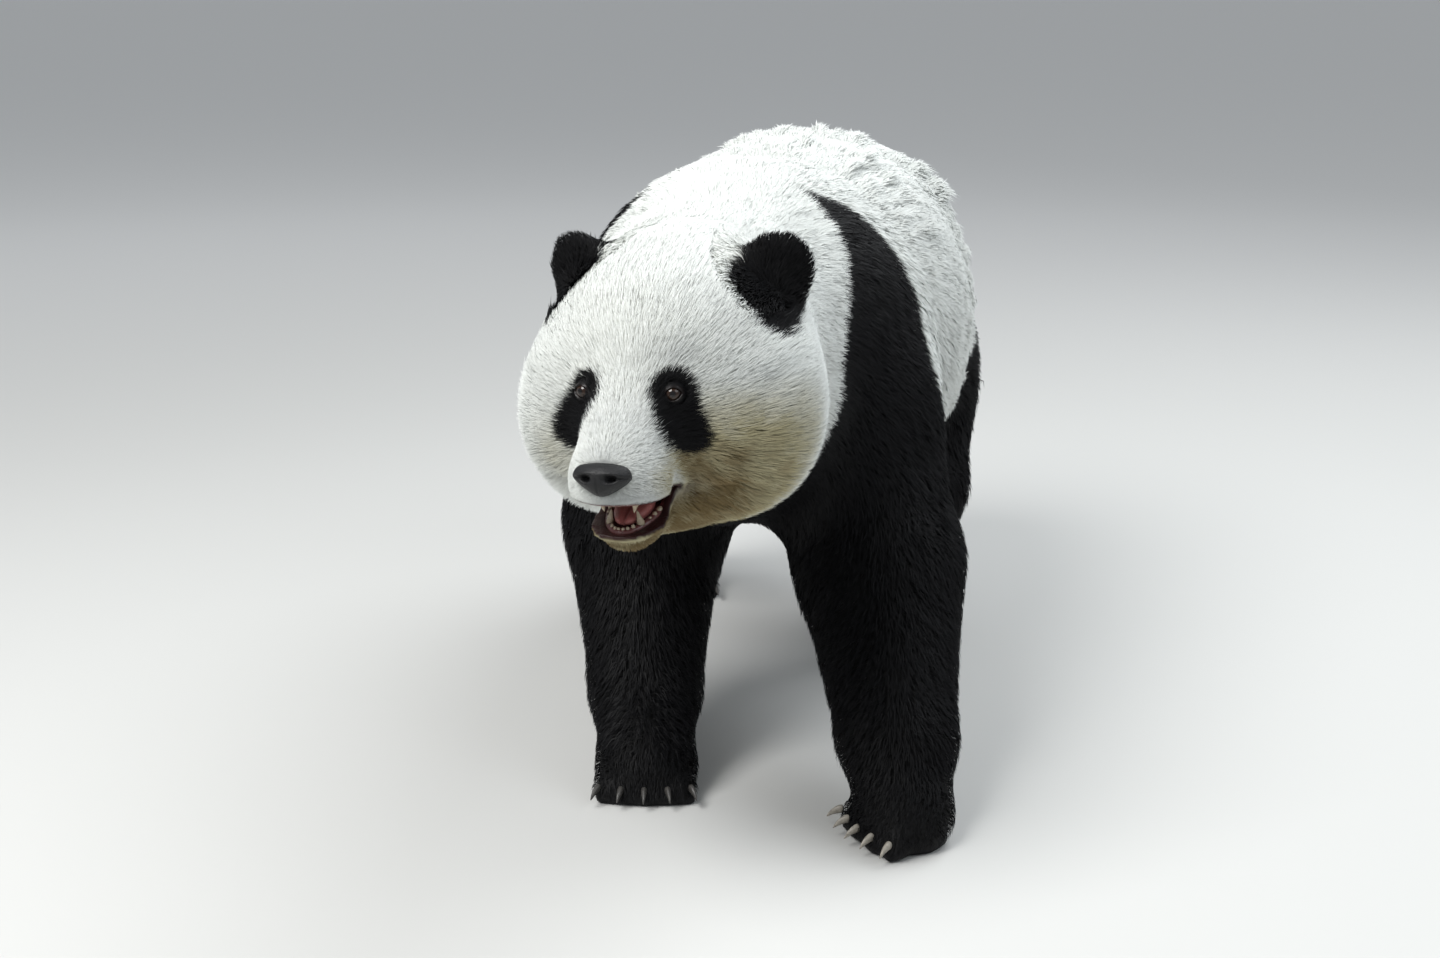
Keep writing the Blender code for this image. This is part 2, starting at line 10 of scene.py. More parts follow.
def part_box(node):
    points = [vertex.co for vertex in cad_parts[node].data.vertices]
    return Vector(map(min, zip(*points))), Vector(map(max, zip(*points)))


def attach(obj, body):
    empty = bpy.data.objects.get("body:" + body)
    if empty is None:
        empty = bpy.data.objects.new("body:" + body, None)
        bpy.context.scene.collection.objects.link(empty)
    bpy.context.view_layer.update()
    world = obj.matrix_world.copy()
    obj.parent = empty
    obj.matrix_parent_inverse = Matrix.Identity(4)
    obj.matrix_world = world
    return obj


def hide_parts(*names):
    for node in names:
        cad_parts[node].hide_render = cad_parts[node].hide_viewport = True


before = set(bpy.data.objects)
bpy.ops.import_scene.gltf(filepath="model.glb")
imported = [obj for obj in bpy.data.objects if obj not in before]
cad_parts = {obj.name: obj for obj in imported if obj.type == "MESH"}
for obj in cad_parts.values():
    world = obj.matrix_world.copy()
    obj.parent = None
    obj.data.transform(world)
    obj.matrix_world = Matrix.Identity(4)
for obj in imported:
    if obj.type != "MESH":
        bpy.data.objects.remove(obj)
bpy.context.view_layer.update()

# -------- studio
# A wide plain floor, paler far off, one large soft light above the animal's right shoulder, weaker
# soft ones from its left and from behind, and the camera in front of it, a little above its back.
STAND = Vector((-0.0498, -0.0990, 0.3670))
CAMERA_PLACE = Vector((0.3092, -2.6220, 1.0260))


def looking(place, target):
    turn = (target - place).to_track_quat("-Z", "Y")
    return Matrix.Translation(place) @ turn.to_matrix().to_4x4()


def placed(name, data):
    obj = bpy.data.objects.new(name, data)
    bpy.context.scene.collection.objects.link(obj)
    return obj


camera_data = bpy.data.cameras.new("camera")
camera_data.sensor_width = 36.0
camera_data.lens = 50.64
camera_data.clip_start = 0.05
camera = placed("camera", camera_data)
camera.matrix_world = looking(CAMERA_PLACE, STAND)
bpy.context.scene.camera = camera


def object_from(mesh, name):
    data = bpy.data.meshes.new(name)
    mesh.to_mesh(data)
    mesh.free()
    return placed(name, data)


def shader_of(name):
    material = bpy.data.materials.new(name)
    material.use_nodes = True
    return material, material.node_tree, material.node_tree.nodes["Principled BSDF"]


FLOOR_RADIUS = 60.0
FLOOR_NEAR, FLOOR_FAR = (0.58, 0.58, 0.565, 1), (0.93, 0.93, 0.92, 1)
FLOOR_FADE = (1.8, 6.0)  # how far out, in metres, the floor starts and ends growing paler
disc = bmesh.new()
bmesh.ops.create_circle(disc, cap_ends=True, segments=64, radius=FLOOR_RADIUS)
backdrop = object_from(disc, "studio_floor")
floor_paint, tree, shader = shader_of("studio_floor")
shader.inputs["Roughness"].default_value = 0.9
place = tree.nodes.new("ShaderNodeTexCoord")
reach = tree.nodes.new("ShaderNodeVectorMath")
reach.operation = "LENGTH"
tree.links.new(place.outputs["Object"], reach.inputs[0])
paler = tree.nodes.new("ShaderNodeMapRange")
paler.interpolation_type = "SMOOTHSTEP"
paler.inputs["From Min"].default_value, paler.inputs["From Max"].default_value = FLOOR_FADE
tree.links.new(reach.outputs["Value"], paler.inputs["Value"])
floor_colour = tree.nodes.new("ShaderNodeMix")
floor_colour.data_type = "RGBA"
floor_colour.inputs["A"].default_value = FLOOR_NEAR
floor_colour.inputs["B"].default_value = FLOOR_FAR
tree.links.new(paler.outputs["Result"], floor_colour.inputs["Factor"])
tree.links.new(floor_colour.outputs["Result"], shader.inputs["Base Color"])
backdrop.data.materials.append(floor_paint)
LIGHT_SIZE = 2.4
LIT_MIDDLE = Vector((0, -0.1, 0.4))


def soft_light(name, place, power, colour):
    light = bpy.data.lights.new(name, "AREA")
    light.shape = "DISK"
    light.size = LIGHT_SIZE
    light.energy = power
    light.color = colour
    placed(name, light).matrix_world = looking(Vector(place), LIT_MIDDLE)


soft_light("key", (-1.5, -2.3, 3.5), 235, (1.0, 0.995, 0.98))
soft_light("fill", (2.7, -1.2, 2.8), 34, (0.90, 0.95, 1.0))
soft_light("back", (1.5, 1.7, 3.4), 118, (0.95, 0.98, 1.0))
world = bpy.data.worlds.new("studio")
world.use_nodes = True
sky = world.node_tree.nodes["Background"]
sky.inputs["Color"].default_value = (0.86, 0.90, 0.94, 1)
sky.inputs["Strength"].default_value = 0.50
bpy.context.scene.world = world
view = bpy.context.scene.view_settings
view.view_transform = "Standard"
view.exposure = -0.3

# -------- skin
# One hide over the whole animal, under the coat: the flesh solids joined, smoothed and drawn
# in by the coat's depth, then worked on the face into sockets, lids, lips and the mouth's lining.
FLESH = ["trunk", "shoulders", "neck", "head", "jaw", "tail"]
for side_name in ("left", "right"):
    FLESH += [f"{limb}_{side_name}" for limb in ("ear", "foreleg", "forepaw", "hindleg", "hindpaw")]
SKIN_VOXEL = 0.0042
SKIN_TRIANGLES = 120000
COAT_DEPTH = {
    "trunk": 0.015, "shoulders": 0.0155, "neck": 0.016, "head": 0.016, "jaw": 0.007, "tail": 0.016,
    "ear": 0.0085, "foreleg": 0.014, "forepaw": 0.008, "hindleg": 0.016, "hindpaw": 0.008,
}
HEAD_CENTRE = Vector((-0.04310, -0.50798, 0.579))
HEAD_SIZE = 1.05
HEAD = (
    Matrix.Translation(HEAD_CENTRE)
    @ Matrix.Rotation(math.radians(-9), 4, "Z")
    @ Matrix.Rotation(math.radians(-3), 4, "X")
    @ Matrix.Rotation(math.radians(-2), 4, "Y")
    @ Matrix.Scale(HEAD_SIZE, 4)
)
JAW_HINGE = Vector((0, -0.030, -0.080))
JAW_OPENING = math.radians(17)
ROOF_SLOPE = 0.045
JAW = HEAD @ Matrix.Translation(JAW_HINGE) @ Matrix.Rotation(JAW_OPENING, 4, "X")
TO_HEAD = np.array(HEAD.inverted())
TO_JAW = np.array(JAW.inverted())
HEAD_TURN = np.array(HEAD.to_3x3())


def in_frame(points, matrix):
    return points @ matrix[:3, :3].T + matrix[:3, 3]


def apply_modifiers(obj):
    bpy.context.view_layer.update()
    made = bpy.data.meshes.new_from_object(obj.evaluated_get(bpy.context.evaluated_depsgraph_get()))
    obj.modifiers.clear()
    old, obj.data = obj.data, made
    bpy.data.meshes.remove(old)


def read(items, field, width, kind=np.float32):
    """A field of a mesh's corners, edges, faces or loops, as rows of width numbers."""
    values = np.empty(len(items) * width, kind)
    items.foreach_get(field, values)
    return values.reshape(-1, width)


def corners_of(data):
    return read(data.vertices, "co", 3).astype(float)


def normals_of(data):
    return read(data.vertices, "normal", 3).astype(float)


def edges_of(data):
    return read(data.edges, "vertices", 2, np.int32)


def put_corners(data, places):
    data.vertices.foreach_set("co", places.astype(np.float32).ravel())
    data.update()


def spread(values, edges, rounds, share=0.5):
    """Evens a value out over the neighbours of each corner, a few rounds of it."""
    count = len(values)
    degree = np.maximum(np.bincount(edges.ravel(), minlength=count), 1)
    values = values.astype(float)
    flat = values.reshape(count, -1)
    share = np.asarray(share, float).reshape(-1, 1)
    for _ in range(rounds):
        total = np.empty_like(flat)
        for k in range(flat.shape[1]):
            total[:, k] = np.bincount(edges[:, 0], flat[edges[:, 1], k], count)
            total[:, k] += np.bincount(edges[:, 1], flat[edges[:, 0], k], count)
        flat = flat + share * (total / degree[:, None] - flat)
    return flat.reshape(values.shape)


def ramp(value, low, high):
    share = np.clip((value - low) / (high - low), 0, 1)
    return share * share * (3 - 2 * share)


def unit(vectors):
    return vectors / np.maximum(np.linalg.norm(vectors, axis=1, keepdims=True), 1e-9)


def keep_largest(mesh):
    """Drops every island of the mesh but the one with the most corners."""
    left, islands = set(mesh.verts), []
    while left:
        fresh = {left.pop()}
        island = set(fresh)
        while fresh:
            fresh = {edge.other_vert(vert) for vert in fresh for edge in vert.link_edges} & left
            left -= fresh
            island |= fresh
        islands.append(island)
    for island in sorted(islands, key=len)[:-1]:
        bmesh.ops.delete(mesh, geom=list(island), context="VERTS")


def noise(points, size, seed=0):
    """A smooth random value from -1 to 1 over space, with lumps of one size."""
    place = points / size + 17.3 * seed + 400
    cell = np.floor(place).astype(np.int64)
    part = place - cell
    part = part * part * (3 - 2 * part)
    total = np.zeros(len(points))
    for corner in range(8):
        step = np.array([(corner >> k) & 1 for k in range(3)])
        spot = (cell + step) * np.array([73856093, 19349663, 83492791])
        chance = (spot[:, 0] ^ spot[:, 1] ^ spot[:, 2]) & 0xFFFFFFF
        chance = ((chance * 1103515245 + 12345) >> 9) & 0xFFFF
        total += np.prod(np.where(step, part, 1 - part), axis=1) * (chance / 32767.5 - 1)
    return total


GAP_FILL = 0.0006  # what each solid swells by, so that those that touch run into one
solids = bmesh.new()
for node in FLESH + ["eye_left", "eye_right", "nose"]:
    piece = bmesh.new()
    piece.from_mesh(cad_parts[node].data)
    bmesh.ops.remove_doubles(piece, verts=piece.verts[:], dist=1e-5)
    piece.normal_update()
    for vert in piece.verts:
        vert.co += vert.normal * GAP_FILL
    joined = bpy.data.meshes.new("piece")
    piece.to_mesh(joined)
    piece.free()
    solids.from_mesh(joined)
    bpy.data.meshes.remove(joined)
skin = object_from(solids, "skin")
even = skin.modifiers.new("even", "REMESH")
even.mode = "VOXEL"
even.voxel_size = SKIN_VOXEL
apply_modifiers(skin)
form = bmesh.new()
form.from_mesh(skin.data)
keep_largest(form)
form.to_mesh(skin.data)
form.free()


def mouth_gap(local):
    """How far a place is outside the open mouth's wedge, in metres; negative inside it."""
    in_jaw = in_frame(in_frame(local, np.array(HEAD)), TO_JAW)
    roof = (local - np.array(JAW_HINGE)) @ np.array([0, -ROOF_SLOPE, 1])
    side = 0.906 * (np.abs(local[:, 0]) - 0.038) + 0.423 * (local[:, 1] + 0.100)
    return np.maximum.reduce([roof, -in_jaw[:, 2], side, local[:, 1] + 0.058])


# The flat facets of the solids are smoothed away, most on the body and least round the mouth.
places = corners_of(skin.data)
local = in_frame(places, TO_HEAD)
in_head = 1 - ramp(local[:, 1], 0.06, 0.14)
at_lips = 1 - ramp(mouth_gap(local), 0.004, 0.012)
sole = 1 - ramp(places[:, 2], 0.001, 0.012)
smoothing = 0.5 * (1 - 0.50 * in_head) * (1 - 0.85 * at_lips)
even_places = spread(places, edges_of(skin.data), 26, smoothing)
put_corners(skin.data, even_places * (1 - sole[:, None]) + places * sole[:, None])
group = skin.vertex_groups.new(name="body")
weight = 1 - in_head * (1 - ramp(local[:, 1], -0.06, 0.05))
for index in np.nonzero(weight > 0.02)[0].tolist():
    group.add([index], float(weight[index]), "REPLACE")
thin = skin.modifiers.new("thin", "DECIMATE")
thin.vertex_group = "body"
thin.ratio = SKIN_TRIANGLES / (2 * len(skin.data.polygons))
thin.use_collapse_triangulate = True
apply_modifiers(skin)

# Finer corners where the lids, the lips and the nose are worked.
EYES = {}
for side_name in ("left", "right"):
    eye_low, eye_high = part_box("eye_" + side_name)
    EYES[side_name] = (eye_low + eye_high) / 2
EYE_RADIUS = 0.0118
NOSE_PLACE = Vector((0, -0.213, -0.058))
MOUTH_PLACE = Vector((0, -0.150, -0.105))
fine = bmesh.new()
fine.from_mesh(skin.data)
coarse_balls = [(EYES["left"], 0.028), (EYES["right"], 0.028)]
coarse_balls += [(HEAD @ NOSE_PLACE, 0.040), (HEAD @ MOUTH_PLACE, 0.062)]
for balls in (coarse_balls, [(EYES["left"], 0.018), (EYES["right"], 0.018)]):
    chosen = [e for e in fine.edges if any((e.verts[0].co - c).length < r for c, r in balls)]
    bmesh.ops.subdivide_edges(fine, edges=chosen, cuts=1, use_grid_fill=True)
bmesh.ops.triangulate(fine, faces=fine.faces[:])
fine.to_mesh(skin.data)
fine.free()

# Which solid each corner came from, and so how deep the coat is there.
solid_corners, solid_faces, face_node = [], [], []
for node in FLESH:
    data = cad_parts[node].data
    start = len(solid_corners)
    solid_corners += [v.co.copy() for v in data.vertices]
    solid_faces += [[start + i for i in p.vertices] for p in data.polygons]
    face_node += [node] * len(data.polygons)
surface = BVHTree.FromPolygons(solid_corners, solid_faces)
form_places = corners_of(skin.data)
nearest = np.array([face_node[surface.find_nearest(Vector(p))[2]] for p in form_places])
node_of = np.array([name.replace("_left", "").replace("_right", "") for name in nearest])
edges = edges_of(skin.data)
local = in_frame(form_places, TO_HEAD)
across, ahead, above = np.abs(local[:, 0]), local[:, 1], local[:, 2]
depth = np.array([COAT_DEPTH[name] for name in node_of])
face = np.isin(node_of, ["head", "jaw"])
muzzle = (across / 0.055) ** 2 + ((ahead + 0.185) / 0.060) ** 2 + ((above + 0.06) / 0.05) ** 2
muzzle = np.exp(-muzzle)
cheek = ramp(across, 0.060, 0.105) * (1 - ramp(above, -0.005, 0.035)) * ramp(ahead, -0.13, -0.07)
brow = 1 - ramp(ahead, -0.14, -0.02)
face_depth = 0.0165 - 0.0085 * brow + 0.010 * cheek
face_depth = face_depth * (1 - muzzle) + 0.0030 * muzzle
depth = np.where(face, face_depth, depth)
depth = spread(depth, edges, 12)
gap = mouth_gap(local)
depth *= ramp(gap, 0.0015, 0.016)

# The lower lip rises to meet the upper one at the mouth's corners, and stands up round the teeth.
roof = JAW_HINGE.z + ROOF_SLOPE * (ahead - JAW_HINGE.y)
floor = JAW_HINGE.z + math.tan(JAW_OPENING) * (ahead - JAW_HINGE.y)
closing = 0.94 * ramp(ahead, -0.132, -0.100) * ramp(across, 0.018, 0.032) * (ahead < -0.05)
below = closing * (roof - floor) * (1 - ramp(floor - above, 0.0, 0.026))
between = closing * np.clip(roof - above, 0, None)
lift = np.where(above < floor, below, between)
in_jaw = in_frame(form_places, TO_JAW)
beside_arch = np.hypot(across / 0.0265, np.minimum(0, in_jaw[:, 1] + 0.076) / 0.066)
jaw_up = np.array(JAW.to_3x3() @ Vector((0, 0, 1))) / HEAD_SIZE
facing_up = normals_of(skin.data) @ jaw_up
rim = np.exp(-(((facing_up - 0.65) / 0.30) ** 2)) * ramp(beside_arch, 1.04, 1.16)
rim *= (np.abs(in_jaw[:, 2] + 0.001) < 0.006) * ramp(-in_jaw[:, 1], 0.05, 0.08)
lift = spread(lift + 0.0024 * rim, edges, 2)
form_places = form_places + lift[:, None] * HEAD_TURN[:, 2] * HEAD_SIZE

# The crown swells before each ear, so that the ear's cup runs forward on to it.
EAR_CUP = (0.104, -0.004, 0.098)
EAR_CUP_SIZE = (0.038, 0.056, 0.046)
EAR_SWELL = 0.017
from_cup = (np.stack([across, ahead, above], axis=1) - EAR_CUP) / EAR_CUP_SIZE
cup = EAR_SWELL * (1 - ramp(np.linalg.norm(from_cup, axis=1), 0.25, 1.0)) * (node_of == "head")
cup_way = np.sign(local[:, :1]) * [0.45, 0, 0] + [0, -0.15, 0.85]
form_places = form_places + spread(cup, edges, 3)[:, None] * (cup_way @ HEAD_TURN.T)
for centre in EYES.values():
    reach = np.linalg.norm(form_places - np.array(centre), axis=1)
    depth = np.minimum(depth, 0.0045 + 0.012 * ramp(reach, 0.016, 0.045))
depth *= ramp(form_places[:, 2], 0.002, 0.022)
directions = unit(spread(normals_of(skin.data), edges, 6))
skin_places = form_places - directions * depth[:, None]
skin_places[:, 2] = np.maximum(skin_places[:, 2], 0.0004)
low_corner = skin_places[:, 2] < 0.004
skin_places = spread(skin_places, edges, 3, np.where(low_corner | (gap < 0.006), 0.0, 0.5))

# The nose's bed is drawn in under its leather.
NOSE_BED_DEPTH = 0.0055
from_nose = (local - np.array(NOSE_PLACE)) / [0.029, 0.019, 0.020]
bed = 1 - ramp(np.linalg.norm(from_nose, axis=1), 0.75, 1.05)
skin_places += bed[:, None] * NOSE_BED_DEPTH * HEAD_TURN[:, 1]

# Each eye's lids stand over its ball, round an opening that slants down towards the nose.
LID, BEHIND_BALL = 0.0017, 0.0035  # how far the skin is outside the ball, and inside it
OPENING = (0.0094, 0.0066)
EYE_AXES = {}
for side_name, centre in EYES.items():
    side = 1.0 if side_name == "left" else -1.0
    forward = (HEAD.to_3x3() @ Vector((0.36 * side, -1.0, 0.10))).normalized()
    level = (HEAD.to_3x3() @ Vector((side, 0, 0.20))).normalized()
    outward = (level - forward * level.dot(forward)).normalized()
    upward = forward.cross(outward) * side
    EYE_AXES[side_name] = (forward, outward, upward)
    q = skin_places - np.array(centre)
    height, u, v = q @ np.array(forward), q @ np.array(outward), q @ np.array(upward)
    reach = np.hypot(u, v)
    front = (height > -0.010) & (reach < 0.030)
    half_height = OPENING[1] * (1 - 0.25 * (u / OPENING[0]) ** 2).clip(0.3)
    almond = np.hypot(u / OPENING[0], (v + 0.0004) / half_height)
    shell = np.sqrt(np.clip((EYE_RADIUS + LID) ** 2 - reach**2, 0, None))
    skirt = 1 - ramp(reach, 0.0090, 0.0215)
    lids = height * (1 - skirt) + np.maximum(shell, height - 0.004) * skirt
    crease = 0.0010 * np.exp(-(((almond - 1.75) / 0.22) ** 2)) * (v > -0.002)
    rim = 0.0005 * np.exp(-(((almond - 1.10) / 0.10) ** 2))
    ball = np.sqrt(np.clip(EYE_RADIUS**2 - reach**2, 0, None))
    inside = ball - BEHIND_BALL
    worked = lids - crease + rim
    open_share = 1 - ramp(almond, 0.86, 1.02)
    worked = worked * (1 - open_share) + inside * open_share
    change = np.where(front, worked - height, 0.0)
    skin_places += change[:, None] * np.array(forward)
put_corners(skin.data, skin_places)
skin.data.shade_smooth()
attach(skin, "root")
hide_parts(*FLESH)

# -------- markings
# The coat's pattern, the same on hide and hair: white, with black ears, eye patches, legs and a
# band over the shoulders; stained tan on the jowls, and a little grey above the eyes. Painted
# shade greys the hair low on the body and adds tan to the left jowl's lower rim.
BODY_MIDDLE = 0.0082  # the trunk's middle plane, in metres to the animal's left
BAND_FRONT = (np.array([BODY_MIDDLE, -0.164, 0.762]), np.array([0, 1, -0.50]) / 1.118)
BAND_REAR = (  # height, and how far back the band reaches there
    (0.42, 0.47, 0.52, 0.56, 0.60, 0.64, 0.68, 0.72, 0.758),
    (-0.100, -0.108, -0.105, -0.089, -0.066, -0.064, -0.074, -0.092, -0.150),
)
PATCHES = {  # across, above and radius of the upper and the lower end of each eye patch
    1: ((0.0490, 0.0200, 0.0215), (0.0655, -0.0320, 0.0195)),
    -1: ((0.0450, 0.0205, 0.0180), (0.0745, -0.0310, 0.0220)),
}
EARS = (  # middle and half size of the black on each ear, its foot and the crown before it
    ((0.106, 0.026, 0.114), (0.049, 0.046, 0.052)),
    ((0.114, 0.005, 0.064), (0.022, 0.045, 0.026)),
    ((0.106, -0.004, 0.106), (0.0440, 0.0600, 0.0560)),
)


def lobe(across, above, spot, size):
    return np.exp(-(((across - spot[0]) / size[0]) ** 2) - ((above - spot[1]) / size[1]) ** 2)


def least(first, second, blend):
    """The smaller of two values, rounded off where they are within blend of each other."""
    close = np.clip(1 - np.abs(first - second) / blend, 0, 1)
    return np.minimum(first, second) - close * close * blend / 4


def markings(points, soft=0.004):
    """Shares of black, of stain with a little painted shade, and of grey with painted shade low on the
    body, at places on the animal, as three columns.
    """
    wander = np.stack([noise(points, 0.045, k) for k in (1, 2, 3)], axis=1) * 0.007
    spots = points + wander
    x, y, z = spots.T
    local = in_frame(points + 0.25 * wander, TO_HEAD)
    side, across = np.sign(local[:, 0]), np.abs(local[:, 0])
    ahead, above = local[:, 1], local[:, 2]
    bulge = 0.022 * np.exp(-(((z - 0.600) / 0.06) ** 2)) + 0.010 * ramp(0.62 - z, 0, 0.08)
    front = (spots - BAND_FRONT[0]) @ BAND_FRONT[1] + bulge - 0.007 * ramp(-x, 0.05, 0.12)
    rear = 0.85 * (np.interp(z, *BAND_REAR) - y)
    chest_end = 0.095 - 0.035 * ramp(x, 0.0, 0.10) - 0.8 * np.clip(z - 0.30, 0, 0.12) - y
    pinch = 0.016 * np.exp(-(((x + 0.045) / 0.075) ** 2)) * ramp(z, 0.66, 0.73)
    pinch += 0.010 * ramp(z, 0.65, 0.73)
    band = np.minimum.reduce([front - pinch, rear - 0.6 * pinch, chest_end])
    out = np.abs(x - BODY_MIDDLE)
    leg_end = 0.362 - (z - 0.42 * (out - 0.060))
    forelegs = np.minimum(least(leg_end, chest_end, 0.06), front + 0.03)
    band = -least(-band, -forelegs, 0.06)
    behind_knee = y - np.where(x > BODY_MIDDLE, 0.18, 0.31) - 0.5 * np.maximum(0, z - 0.22)
    thigh = np.minimum(0.40 + 0.4 * behind_knee, 0.49) - 0.5 * np.maximum(0, 0.25 - out)
    hindlegs = least(0.9 * (thigh - z), behind_knee, 0.06)
    around = np.stack([across, ahead, above], axis=1)
    ears = [1 - np.linalg.norm((around - middle) / size, axis=1) for middle, size in EARS]
    ears = 0.045 * np.maximum.reduce(ears)
    patch = np.full(len(points), -1.0)
    for of_side, ((x0, z0, r0), (x1, z1, r1)) in PATCHES.items():
        run = np.array([x1 - x0, z1 - z0])
        along = np.clip(((across - x0) * run[0] + (above - z0) * run[1]) / (run @ run), 0, 1)
        off = np.hypot(across - x0 - along * run[0], above - z0 - along * run[1])
        inside = r0 + (r1 - r0) * along - off
        patch = np.where((side == of_side) & (ahead < -0.07), inside, patch)
    black = ramp(np.maximum.reduce([band, hindlegs, ears, patch]), -soft, soft)
    blotch = 0.98 + 0.26 * noise(points, 0.020, 5) + 0.22 * noise(points, 0.009, 6)
    on_left = ramp(local[:, 0], -0.01, 0.03)
    on_left = np.maximum(on_left, ramp(-above, 0.095, 0.110) * ramp(-ahead, 0.10, 0.14))
    low_muzzle = ramp(-above, 0.074, 0.088) * ramp(ahead, -0.170, -0.140)
    beside = np.maximum.reduce([ramp(across, 0.040, 0.058), low_muzzle, ramp(-above, 0.095, 0.105)])
    jowl = 0.35 + 8.5 * (-above - 0.015) + 0.15 * lobe(across, above, (0.112, -0.016), (0.014, 0.014))
    jowl += 0.28 * lobe(across, above, (0.066, -0.072), (0.022, 0.028))
    jowl = np.clip(jowl, 0, 1 - 0.52 * ramp(across, 0.085, 0.132)) * beside
    # Painted shade: more tan along the left jowl's lower rim, partly its stain and partly the shade
    # under the cheek.
    jowl += 0.2 * lobe(across, above, (0.142, -0.092), (0.018, 0.032))
    jowl *= 1 - 0.35 * ramp(-ahead, 0.150, 0.175)
    right_jowl = 0.24 * lobe(across, above, (0.095, -0.060), (0.030, 0.035))
    stain_and_shade = jowl * on_left + right_jowl * (1 - on_left)
    stain_and_shade = np.clip(stain_and_shade * blotch, 0, 1) * ramp(-ahead, -0.03, 0.05)
    grey = 0.35 * lobe(across, above, (0.050, 0.052), (0.024, 0.016)) * on_left
    grey += 0.25 * lobe(across, above, (0.018, -0.012), (0.022, 0.030))
    grey += 0.60 * lobe(local[:, 0], above, (0.016, -0.088), (0.036, 0.013))
    grey += 0.40 * lobe(local[:, 0], above, (0.0, -0.036), (0.026, 0.010)) * ramp(-ahead, 0.19, 0.21)
    grey = np.clip(grey * blotch, 0, 1) * ramp(-ahead, 0.00, 0.05)
    # Painted shade: hair low on the body, behind the head, is greyed for the shade under the animal.
    painted_underside_shade = ramp(-z, -0.36, -0.26) * ramp(local[:, 1], 0.06, 0.12)
    return np.stack([black, stain_and_shade, np.clip(grey + 0.35 * painted_underside_shade, 0, 1)], axis=1)


def feed(tree, socket, value):
    """Links the socket to another one, or sets it to a number or a colour."""
    if isinstance(value, bpy.types.NodeSocket):
        tree.links.new(value, socket)
    else:
        socket.default_value = (*value, 1) if isinstance(value, tuple) else value


def mixed(tree, share, first, second):
    """A colour between two, each a colour or a socket; share is a socket."""
    node = tree.nodes.new("ShaderNodeMix")
    node.data_type = "RGBA"
    tree.links.new(share, node.inputs["Factor"])
    feed(tree, node.inputs["A"], first)
    feed(tree, node.inputs["B"], second)
    return node.outputs["Result"]


def sums(tree, operation, *values):
    node = tree.nodes.new("ShaderNodeMath")
    node.operation = operation
    for socket, value in zip(node.inputs, values):
        feed(tree, socket, value)
    return node.outputs["Value"]


def parted(tree, vector):
    node = tree.nodes.new("ShaderNodeSeparateXYZ")
    tree.links.new(vector, node.inputs[0])
    return node.outputs


# The colours of the hair by its markings, from root to tip, the roots painted darker for the shade deep
# in the coat. Tone is lighter or darker by hair.
hair_colours = bpy.data.node_groups.new("panda_hair_colours", "ShaderNodeTree")
for label, way, kind in (
    ("Marks", "INPUT", "Vector"), ("Along", "INPUT", "Float"), ("Tone", "INPUT", "Float"),
    ("Colour", "OUTPUT", "Color"), ("Roughness", "OUTPUT", "Float"),
):
    hair_colours.interface.new_socket(label, in_out=way, socket_type="NodeSocket" + kind)
given = hair_colours.nodes.new("NodeGroupInput")
put_out = hair_colours.nodes.new("NodeGroupOutput")
black_share, stain_and_shade_share, grey_share = parted(hair_colours, given.outputs["Marks"])
# Painted shade: each colour is darker at the root than at the tip, for the shade deep in the coat.
HAIR_COLOURS = {  # at the root and at the tip
    "white": ((0.50, 0.51, 0.47), (0.82, 0.845, 0.825)),
    "cream": ((0.30, 0.27, 0.16), (0.52, 0.475, 0.305)),
    "tan": ((0.11, 0.078, 0.033), (0.235, 0.172, 0.082)),
    "grey": ((0.22, 0.23, 0.23), (0.42, 0.44, 0.45)),
    "black": ((0.0016, 0.0014, 0.0014), (0.0032, 0.0032, 0.0042)),
}
dyed = {}
for name, (root, tip) in HAIR_COLOURS.items():
    dyed[name] = mixed(hair_colours, given.outputs["Along"], root, tip)
faint = hair_colours.nodes.new("ShaderNodeMapRange")
strong = hair_colours.nodes.new("ShaderNodeMapRange")
for step, (start, end) in ((faint, (0.0, 0.5)), (strong, (0.5, 1.0))):
    hair_colours.links.new(stain_and_shade_share, step.inputs["Value"])
    step.inputs["From Min"].default_value = start
    step.inputs["From Max"].default_value = end
pale = mixed(hair_colours, faint.outputs["Result"], dyed["white"], dyed["cream"])
pale = mixed(hair_colours, strong.outputs["Result"], pale, dyed["tan"])
pale = mixed(hair_colours, grey_share, pale, dyed["grey"])
tone = hair_colours.nodes.new("ShaderNodeHueSaturation")
hair_colours.links.new(pale, tone.inputs["Color"])
hair_colours.links.new(given.outputs["Tone"], tone.inputs["Value"])
coloured = mixed(hair_colours, black_share, tone.outputs["Color"], dyed["black"])
hair_colours.links.new(coloured, put_out.inputs["Colour"])
rough = sums(hair_colours, "MULTIPLY_ADD", black_share, -0.22, 0.80)
hair_colours.links.new(rough, put_out.inputs["Roughness"])


def attribute_node(tree, name):
    node = tree.nodes.new("ShaderNodeAttribute")
    node.attribute_name = name
    return node


def put_vectors(data, name, values):
    made = data.attributes.new(name, "FLOAT_VECTOR", "POINT")
    made.data.foreach_set("vector", values.astype(np.float32).ravel())


def coloured_by_marks(tree):
    """The hair's colours from the marks attribute of the mesh; gives back the group's node."""
    node = tree.nodes.new("ShaderNodeGroup")
    node.node_tree = hair_colours
    marks = attribute_node(tree, "marks")
    tree.links.new(marks.outputs["Vector"], node.inputs["Marks"])
    return node


